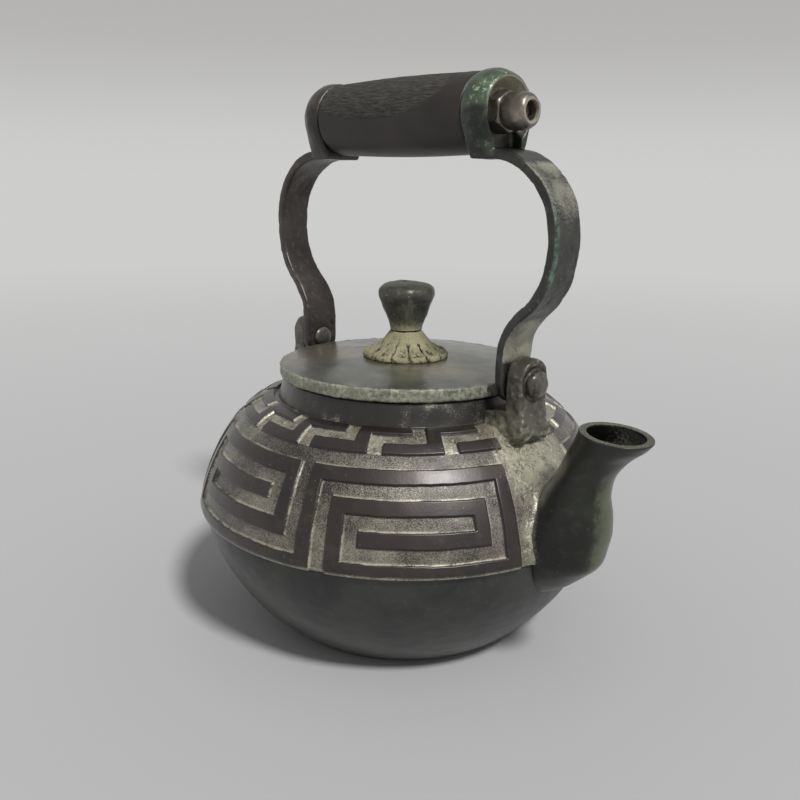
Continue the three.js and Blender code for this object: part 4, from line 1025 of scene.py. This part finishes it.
# Collar and strap joined, hollowed for the grip's end, the nut and the rod, and given one dented cast skin
def makeArm(name, node, way, seed):
    piece = combined(surface(name, collarGrid()), surface("strap", strapGrid()), "UNION")
    start, dish, half = grip["halfLength"], grip["dishRadius"], grip["nicheHalfWidth"]
    drilled(piece, grip["socketRadius"], start - 2, start + grip["socketDepth"], 72, gripZ)
    seat = outlineOf([(0, seatX, 0), (grip["seatRadius"], seatX, 0), (dish, collarOuter - 0.4, 0),
                      (dish, collarOuter + 3, 0), (0, collarOuter + 3, 0)], 40)
    combined(piece, surface("seat", turnedAlongX(seat, 72, gripZ)))
    drilled(piece, grip["bore"], start, collarOuter, 72, gripZ)
    level = np.linspace(heelZ + arm["thickness"] / 2, gripZ, 12)
    each = np.ones(len(level))
    middle, deep = (seatX + collarOuter + 6) / 2, (collarOuter + 6 - seatX) / 2
    niche = roundedSections(middle * each, deep * each, half * each, arm["edge"] * each, level, 5, 1)
    combined(piece, surface("niche", capped(niche)))
    castTogether(piece, arm["voxel"], 3)
    points, normals = pointsOf(piece)
    random = np.random.default_rng(seed)
    count = arm["dents"]
    picks = points[random.choice(len(points), count)]
    dents = np.column_stack([picks, random.uniform(0.35, 0.9, count), random.uniform(0.08, 0.3, count)])
    skin = arm["waves"] * swells(points, 8, seed) + arm["pits"] * swells(points, 2.2, seed + 1)
    points = dented(points + normals * skin[:, None], normals, dents)

    # Dust at the foot, over the bend and along the corners, and numbers for the tones of collar and edge
    height, over = points[:, 2] - lug["pivotHeight"], points[:, 2] - gripZ
    outerFace = ease(normals[:, 0], 0.3, 0.8)
    blotch = swells(points, 6, seed + 2)
    foot = arm["footDust"] * ease(-height, -25, -17) * ease(height, 4, 8) * outerFace
    upOrOut = ease(normals[:, 0] + normals[:, 2], 0.5, 1.1)
    shoulder = arm["shoulderDust"] * ease(height, 42, 60) * ease(-height, -68.5, -66) * upOrOut
    corner = arm["cornerDust"] * ease(np.abs(points[:, 1]), 5.6, 6.4) * outerFace
    dust = np.maximum.reduce([foot, shoulder, corner]) * (0.9 + 0.22 * blotch)
    inDish = ease(points[:, 0], seatX - 1, seatX) * ease(-np.hypot(points[:, 1], over), -10.9, -10.2)
    dust = np.maximum(dust, arm["dishDust"] * inDish * ease(over, -4, 3))
    edge = ease(-points[:, 1], 3.6, 5.4) * ease(height, 28, 36) * ease(-height, -62, -54) * outerFace
    edge = edge * (0.65 + 0.5 * swells(points, 14, seed + 3))
    collar = ease(height, 66, 71) * (1 - inDish)
    # 1 on the collar's lower part, where the material paints a near-black tone as shade
    below = ease(gripZ + 5 - points[:, 2] + 2 * blotch, 0, 5)
    points[:, 0] *= way
    if way < 0:
        piece.data.flip_normals()
    setPoints(piece, points, dust=np.clip(dust, 0, 1), collar=collar, below=below, edge=np.clip(edge, 0, 1))
    return dress(piece, frontArmBronze if way > 0 else rearArmBronze, "handle", "arm_bronze", node)


# A barrel on a cosine, with a tenon at each end. Its weathered patch lies on top within limits that rise
# towards the ends, and there the surface is sunk and follows fibres along the grain.
def makeGrip():
    end = grip["halfLength"] - 0.1
    bore, tenon = grip["bore"], grip["socketRadius"] - 0.3
    reach = grip["halfLength"] + grip["socketDepth"] - 0.3
    x = np.linspace(-end, end, 150)
    radius = grip["endRadius"] + (grip["radius"] - grip["endRadius"]) * np.cos(x / end * quarter)
    radius = radius - 0.5 * ease(np.abs(x), end - 0.7, end)
    barrel = np.stack([radius, x], 1)
    first = outlineOf([(bore, -reach, 0), (tenon, -reach, 0.4), (tenon, -end, 0), (*barrel[0], 0)], 3)
    last = outlineOf([(*barrel[-1], 0), (tenon, end, 0), (tenon, reach, 0.4), (bore, reach, 0)], 3)
    grid = turnedAlongX(np.vstack([first[:-1], barrel, last[1:]]), 190, gripZ)
    over = grid[..., 2] - gripZ
    offX = np.hypot(grid[..., 1], over)
    side = np.degrees(np.arctan2(over, -grid[..., 1]))  # 90 on top, 0 towards -Y
    side = (side + 90) % 360 - 90
    along = (grid[..., 0] + 9) / end
    rising = np.where(along > 0, 14 * along ** 2 + 30 * along ** 8, 60 * np.abs(along) ** 3)
    limit = -5 + rising + 2.5 * swells(grid, 16, 61)
    worn = ease(side - limit, -1.5, 3) * ease(160 - side, 0, 20) * ease(end - 6 - grid[..., 0], -2, 3)
    stretched = grid * [grip["fibreStretch"], 1, 1]
    fibre = swells(stretched, 1.1, 62) + 0.7 * swells(stretched, 0.7, 63)
    depth = worn * (grip["fibreDepth"] * fibre - grip["sunk"]) + grip["waves"] * swells(stretched, 3, 64)
    out = np.stack([0 * offX, grid[..., 1], over], -1) / offX[..., None]
    piece = surface("grip_barrel", grid + out * depth[..., None], joinRows=True, worn=worn)
    return dress(piece, darkWood, "handle", "grip_wood", "grip")


# Tie rod, six-sided nut and cap nut, measured along the handle
rod = {
    "radius": 2.1, "head": 5.0, "headRise": 8.2, "short": 3, "skin": [(0.05, 3, 71)], "across": 11.5,
    "nut": 4.5, "nutSkin": [(0.04, 3, 72)], "nutRows": (0, 0.12, 0.5, 1.4, 2.3, 3.2, 4.0, 4.4, 4.6),
    "nutCone": (1.05, 1.09, 1.2, 1.2, 1.2, 1.2, 1.1, 1.02, 0.96), "cornerReach": 1.13, "cap": 5.6,
    "capEnd": 3.5, "capLength": 8, "capStraight": 4.0, "capHole": 3.1, "capSkin": [(0.07, 3, 73)],
    "rimDust": 0.8,
}


# Half a ball for a head, and the shank through the grip
def makeRod():
    start, head, radius = seatX + 0.3, rod["head"], rod["radius"]
    end = start + rod["nut"] + 0.3 + rod["capLength"] - rod["short"]
    bend = np.linspace(0, quarter, 12)
    ball = np.stack([head * np.sin(bend), -start - rod["headRise"] / 2 * (1 + np.cos(bend))], 1)
    rest = outlineOf([(*ball[-1], 0), (head, -start, 0.5), (radius, -start, 0.2), (radius, end, 0.4),
                      (0, end, 0)], 4)
    grid = uneven(turnedAlongX(np.vstack([ball[:-1], rest]), 40, gripZ), rod["skin"], axis=0)
    return dress(surface("tie_rod_turned", grid), brownedSteel, "handle", "rod_steel", "tie_rod")


# Hexagon of rounded corners carried along X; its ends are turned down to a cone over the corners
def makeHexNut():
    columns = 144
    angle = np.arange(columns) / columns * turn
    flat = rod["across"] / 2
    six = (angle - quarter) % (turn / 6) - turn / 12
    reach = np.minimum(flat / np.cos(six), flat * rod["cornerReach"])
    cone = flat * np.array(rod["nutCone"])
    bore = np.full((1, columns), grip["bore"])
    radius = np.concatenate([bore, np.minimum(reach[None], cone[:, None]), bore])
    x = seatX + 0.1 + np.array(rod["nutRows"])
    x = np.concatenate([x[:1], x, x[-1:]])
    grid = np.stack([x[:, None] + 0 * radius, radius * np.cos(angle), gripZ + radius * np.sin(angle)], -1)
    grid = uneven(grid, rod["nutSkin"], axis=0)
    return dress(surface("hex_nut_forged", grid, joinRows=True), brownedSteel, "handle", "rod_steel",
                 "hex_nut")


# A short cylinder and a dome with an open hole, worn bright and dusty round its rim
def makeCapNut():
    start = seatX + 0.3 + rod["nut"] + 0.1
    cap, length, straight = rod["cap"], rod["capLength"], rod["capStraight"]
    bend = np.linspace(0, quarter, 16)
    nose = np.stack([rod["capEnd"] + (cap - rod["capEnd"]) * np.cos(bend),
                     start + straight + (length - straight) * np.sin(bend)], 1)
    rear = outlineOf([(2.5, start, 0), (cap - 0.3, start, 0.5), (cap, start + 0.8, 0.5), (*nose[0], 0)], 1)
    hole = outlineOf([(*nose[-1], 0), (rod["capHole"], start + length + 0.1, 0.3),
                      (rod["capHole"] - 0.2, start + length - 0.9, 0.3), (2.5, start, 0)], 1)
    grid = uneven(turnedAlongX(np.vstack([rear[:-1], nose, hole[1:-1]]), 64, gripZ), rod["capSkin"], axis=0)
    fromRim = np.abs(np.hypot(grid[..., 1], grid[..., 2] - gripZ) - rod["capHole"] - 0.1)
    atEnd = ease(grid[..., 0], start + length - 1.6, start + length - 0.6)
    dust = rod["rimDust"] * ease(-fromRim, -1.2, -0.5) * atEnd
    piece = surface("cap_nut_turned", grid, joinRows=True, dust=dust)
    return dress(piece, brownedSteel, "handle", "rod_steel", "cap_nut")


# Finishes: tones from dark to flecks, dust tones brown and pale. Each is what the eye sees on that piece.

# Dark grey-green patina on cast bronze, satin
bowlBronze = patinatedBronze("bowl_patina", 1, "#2e312f #3f413c #53544b #6f7063", mottleShare=0.2,
                             fleckShare=0.0, wax=0.35, rough=(0.36, 0.5))
# Brown rubbed bars with pale lines and painted highlights on their lit sides and painted shadow lines under
# the others, over a ground filled with grey-brown grains, and a neck and inside painted darker as shade
shellBronze = patinatedBronze(
    "relief_patina", 2, "#221c18 #302822 #423930 #847d6c", fleckShare=0.02, sizes={"sand": 0.5, "tint": 26},
    tint="#2b1f1a", stain="#211f19", metal=0.66, rough=(0.34, 0.46), wax=1.0, waxRough=0.38,
    dust="#6b645b #b2ae97", dustRough=0.42, dustMetal=0.38, dustDepth=0.9, paleFrom=(1.04, 1.62), sandy=1.7,
    patchy=0.9, lines=True, curls="#c6c6b2", curlDepth=4.5)
# Near-black green patina, smoother than the rest, with a painted olive sheen on one side
spoutBronze = patinatedBronze(
    "spout_patina", 3, "#191a17 #292c24 #40463a #5c5e50", mottleShare=0.2, fleckShare=0.0, stain="#666c55",
    metal=0.72, rough=(0.34, 0.46), wax=0.6, waxRough=0.38, dust="#5c5947 #a09d8b")
# Dark casting skin with curls of flash at the foot
lugBronze = patinatedBronze(
    "lug_patina", 4, "#474239 #625d51 #827d6e #aaa792", fleckShare=0.16, rough=(0.4, 0.6), wax=0.6,
    grainDepth=0.1, dust="#5f6350 #a6a98c", curls="#bcbfa2")
# Hammered rivet heads, brighter where they were struck
rivetBronze = patinatedBronze("rivet_patina", 5, "#4b4843 #69635b #8c867c #b0aa9c", sizes={"mottles": 2.2},
                              metal=0.7, rough=(0.3, 0.46), wax=0.4)
# Grey-green lid rubbed to a gloss, with tan and dark stains and a pale speckled rim
lidBronze = patinatedBronze(
    "lid_patina", 6, "#55574e #6f7067 #807f73 #a9aa96", mottleShare=0.2, fleckShare=0.0,
    sizes={"sand": 1.5, "tint": 34}, tint="#837b6b", metal=0.62, rough=(0.26, 0.42), wax=0.6, waxRough=0.2,
    dust="#77786a #bfc1a4", sandy=1.7)
# Pale sediment that nearly hides the metal, thinner in the hollows as painted shade
rosetteBronze = patinatedBronze("rosette_patina", 7, "#2f2b22 #4b4537 #6d6851 #9e9b7c", metal=0.3,
                                rough=(0.55, 0.75), dust="#77735a #aaa787")
# Dark olive knob, dusty at its neck
knobBronze = patinatedBronze(
    "knob_patina", 8, "#33332e #4c4c42 #6b6a58 #94937a", mottleShare=0.4, sizes={"mottles": 3},
    rough=(0.38, 0.56), wax=0.4, dust="#66654f #a3a283")
# Steel under an old brown oil finish, with a soft gloss
brownedSteel = patinatedBronze(
    "browned_steel", 9, "#665f57 #8d857a #aaa296 #bab3a8", fleckShare=0.08, sizes={"mottles": 2}, metal=0.8,
    rough=(0.3, 0.46), wax=0.4, dust="#5f574d #b0a898")
# Forged straps with worn patches, and collars green with verdigris in front and brown behind, each painted
# near-black on its lower part as shade
strapLook = {
    "mottleShare": 0.4, "fleckShare": 0.06, "rough": (0.36, 0.56), "wax": 0.5, "dust": "#77756a #aaa892",
    "dustRough": 0.5, "dustMetal": 0.4, "sandy": 1.3,
}
frontArmBronze = patinatedBronze("front_strap_patina", 10, "#292825 #3d3c38 #56554e #8f8f80", **strapLook,
                                 collar="#3f4a3c #566752 #b0bf9f #1a1d18", verdigris="#6d8e7c")
rearArmBronze = patinatedBronze("rear_strap_patina", 11, "#352f2c #49413d #645c55 #8f8f80", **strapLook,
                                collar="#37322f #49433d #6b675b #231f1d", verdigris="#545a4c")

wood = {
    "below": "#231f1d #302825", "weathered": "#191715 #504d46", "stretch": 0.14, "fibre": 0.55, "cloud": 14,
    "rough": (0.46, 0.8), "fibreDepth": 0.4,
}


# Turned hardwood stained nearly black: smooth below, and open grey fibres where the worn number is 1
def agedWood(name):
    material = bpy.data.materials.new(name)
    tree = emptyTree(material)
    place = addNode(tree, "TexCoord", output="Object")
    worn = addNode(tree, "Attribute", output="Fac", attribute_name="worn")
    fibres = addNode(tree, "Mapping", {"Vector": place, "Scale": (wood["stretch"], 1, 1)})
    fine = addNode(tree, "TexNoise", {"Vector": fibres, "Scale": perMetre(wood["fibre"]), "Detail": 7.0,
                                      "Roughness": 0.72})
    broad = addNode(tree, "TexNoise", {"Vector": place, "Scale": perMetre(wood["cloud"]), "Detail": 4.0})
    sides = []
    for noise, tones in ((broad, wood["below"]), (fine, wood["weathered"])):
        dark, light = tones.split()
        share = addNode(tree, "MapRange", {"Value": noise, "From Min": 0.38, "From Max": 0.64})
        sides.append(addNode(tree, "Mix", {"Factor": share, "A": dark, "B": light}, data_type="RGBA"))
    colour = addNode(tree, "Mix", {"Factor": worn, "A": sides[0], "B": sides[1]}, data_type="RGBA")
    smooth, fibrous = wood["rough"]
    rough = addNode(tree, "MapRange", {"Value": worn, "To Min": smooth, "To Max": fibrous})
    height = addNode(tree, "Math", {0: fine, 1: worn}, operation="MULTIPLY")
    bump = addNode(tree, "Bump", {"Height": height, "Distance": wood["fibreDepth"] * mm})
    shader = addNode(tree, "BsdfPrincipled", {"Base Color": colour, "Roughness": rough, "Normal": bump})
    addNode(tree, "OutputMaterial", {"Surface": shader})
    return material


darkWood = agedWood("stained_hardwood")

# Assembly

ends = ((1, "front", 81), (-1, "rear", 91))  # which way along X, the word in the names, and a seed
makeBowl()
makeShell()
makeSpout()
for way, place, seed in ends:
    makeLug(f"lug_{place}_casting", f"lug_{place}", way, seed)
for way, place, seed in ends:
    makePin(f"pin_{place}_riveted", f"pivot_pin_{place}", way, seed + 2)
for make in (makeLid, makeRosette, makeKnob):
    make()
for way, place, seed in ends:
    makeArm(f"arm_{place}_forged", f"arm_{place}", way, seed + 20)
for make in (makeGrip, makeRod, makeHexNut, makeCapNut):
    make()

# Pieces whose measured solid is shown as it is
for name in ("knob_stud", "stud_washer"):
    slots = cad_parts[name].data.materials
    slots.clear()
    slots.append(rivetBronze)

# Camera at the photograph's angle: its place in millimetres, and its aim in degrees
view = {"position": (220.7, -211.3, 159.7), "heading": 136.58, "pitch": -14.58, "roll": 0.8, "lens": 38.97}


# Looks along its aim, with the picture turned by the roll
def makeCamera():
    heading, pitch, roll = (np.radians(view[word]) for word in ("heading", "pitch", "roll"))
    ahead = Vector((np.cos(heading) * np.cos(pitch), np.sin(heading) * np.cos(pitch), np.sin(pitch)))
    right = ahead.cross(Vector((0, 0, 1))).normalized()
    up = right.cross(ahead)
    right, up = right * np.cos(roll) + up * np.sin(roll), up * np.cos(roll) - right * np.sin(roll)
    data = bpy.data.cameras.new("camera")
    data.sensor_width = 36
    data.lens = view["lens"]
    data.clip_end = 100
    camera = bpy.data.objects.new("camera", data)
    bpy.context.scene.collection.objects.link(camera)
    axes = Matrix((right, up, -ahead)).transposed().to_4x4()
    camera.matrix_world = Matrix.Translation(Vector(view["position"]) * mm) @ axes
    bpy.context.scene.camera = camera


# One soft key from the spout's side, an even pale room, and a floor with painted light that pales towards the
# horizon
studio = {
    "keyTurn": -14, "keyRise": 50, "keySpread": 9, "keyPower": 2.6, "room": 0.37, "floorHalf": 40,
    "near": "#bababa", "far": "#cdcdcc", "above": "#b4b3b2", "paleFrom": 0.1, "paleTo": 1.3, "fadeTo": 0.17,
}


# A sun by its turn and rise, and a world that lights evenly but is seen fading above the horizon
def makeStudio():
    turnTo, rise = np.radians(studio["keyTurn"]), np.radians(studio["keyRise"])
    toKey = Vector((np.cos(turnTo) * np.cos(rise), np.sin(turnTo) * np.cos(rise), np.sin(rise)))
    data = bpy.data.lights.new("key", "SUN")
    data.angle = np.radians(studio["keySpread"])
    data.energy = studio["keyPower"]
    key = bpy.data.objects.new("key", data)
    key.rotation_euler = (-toKey).to_track_quat("-Z", "Y").to_euler()
    bpy.context.scene.collection.objects.link(key)
    world = bpy.data.worlds.new("room")
    bpy.context.scene.world = world
    tree = emptyTree(world)
    ray = addNode(tree, "TexCoord", output="Generated")
    height = addNode(tree, "SeparateXYZ", {"Vector": ray}, output="Z")
    share = addNode(tree, "MapRange", {"Value": height, "From Max": studio["fadeTo"]},
                    interpolation_type="SMOOTHSTEP")
    fade = addNode(tree, "Mix", {"Factor": share, "A": studio["far"], "B": studio["above"]}, data_type="RGBA")
    room = addNode(tree, "Background", {"Color": (1, 1, 1, 1), "Strength": studio["room"]})
    seen = addNode(tree, "Background", {"Color": fade, "Strength": 1.0})
    camera, glossy = (addNode(tree, "LightPath", output=f"Is {kind} Ray") for kind in ("Camera", "Glossy"))
    direct = addNode(tree, "Math", {0: camera, 1: glossy}, operation="MAXIMUM")
    either = addNode(tree, "MixShader", {0: direct, 1: room, 2: seen})
    addNode(tree, "OutputWorld", {"Surface": either})


# A large square of matt paper with painted light, paler far off (metres)
def makeFloor():
    half = studio["floorHalf"]
    mesh = bpy.data.meshes.new("floor")
    corners = [(x * half, y * half, 0) for x, y in ((-1, -1), (1, -1), (1, 1), (-1, 1))]
    mesh.from_pydata(corners, [], [(0, 1, 2, 3)])
    material = bpy.data.materials.new("matt_paper")
    tree = emptyTree(material)
    place = addNode(tree, "TexCoord", output="Object")
    reach = addNode(tree, "VectorMath", {0: place}, operation="LENGTH")
    share = addNode(tree, "MapRange", {"Value": reach, "From Min": studio["paleFrom"],
                                       "From Max": studio["paleTo"]})
    colour = addNode(tree, "Mix", {"Factor": share, "A": studio["near"], "B": studio["far"]},
                     data_type="RGBA")
    matt = addNode(tree, "BsdfDiffuse", {"Color": colour})
    addNode(tree, "OutputMaterial", {"Surface": matt})
    mesh.materials.append(material)
    floor = bpy.data.objects.new("floor", mesh)
    bpy.context.scene.collection.objects.link(floor)


makeCamera()
makeStudio()
makeFloor()
bpy.context.scene.view_settings.view_transform = "Standard"
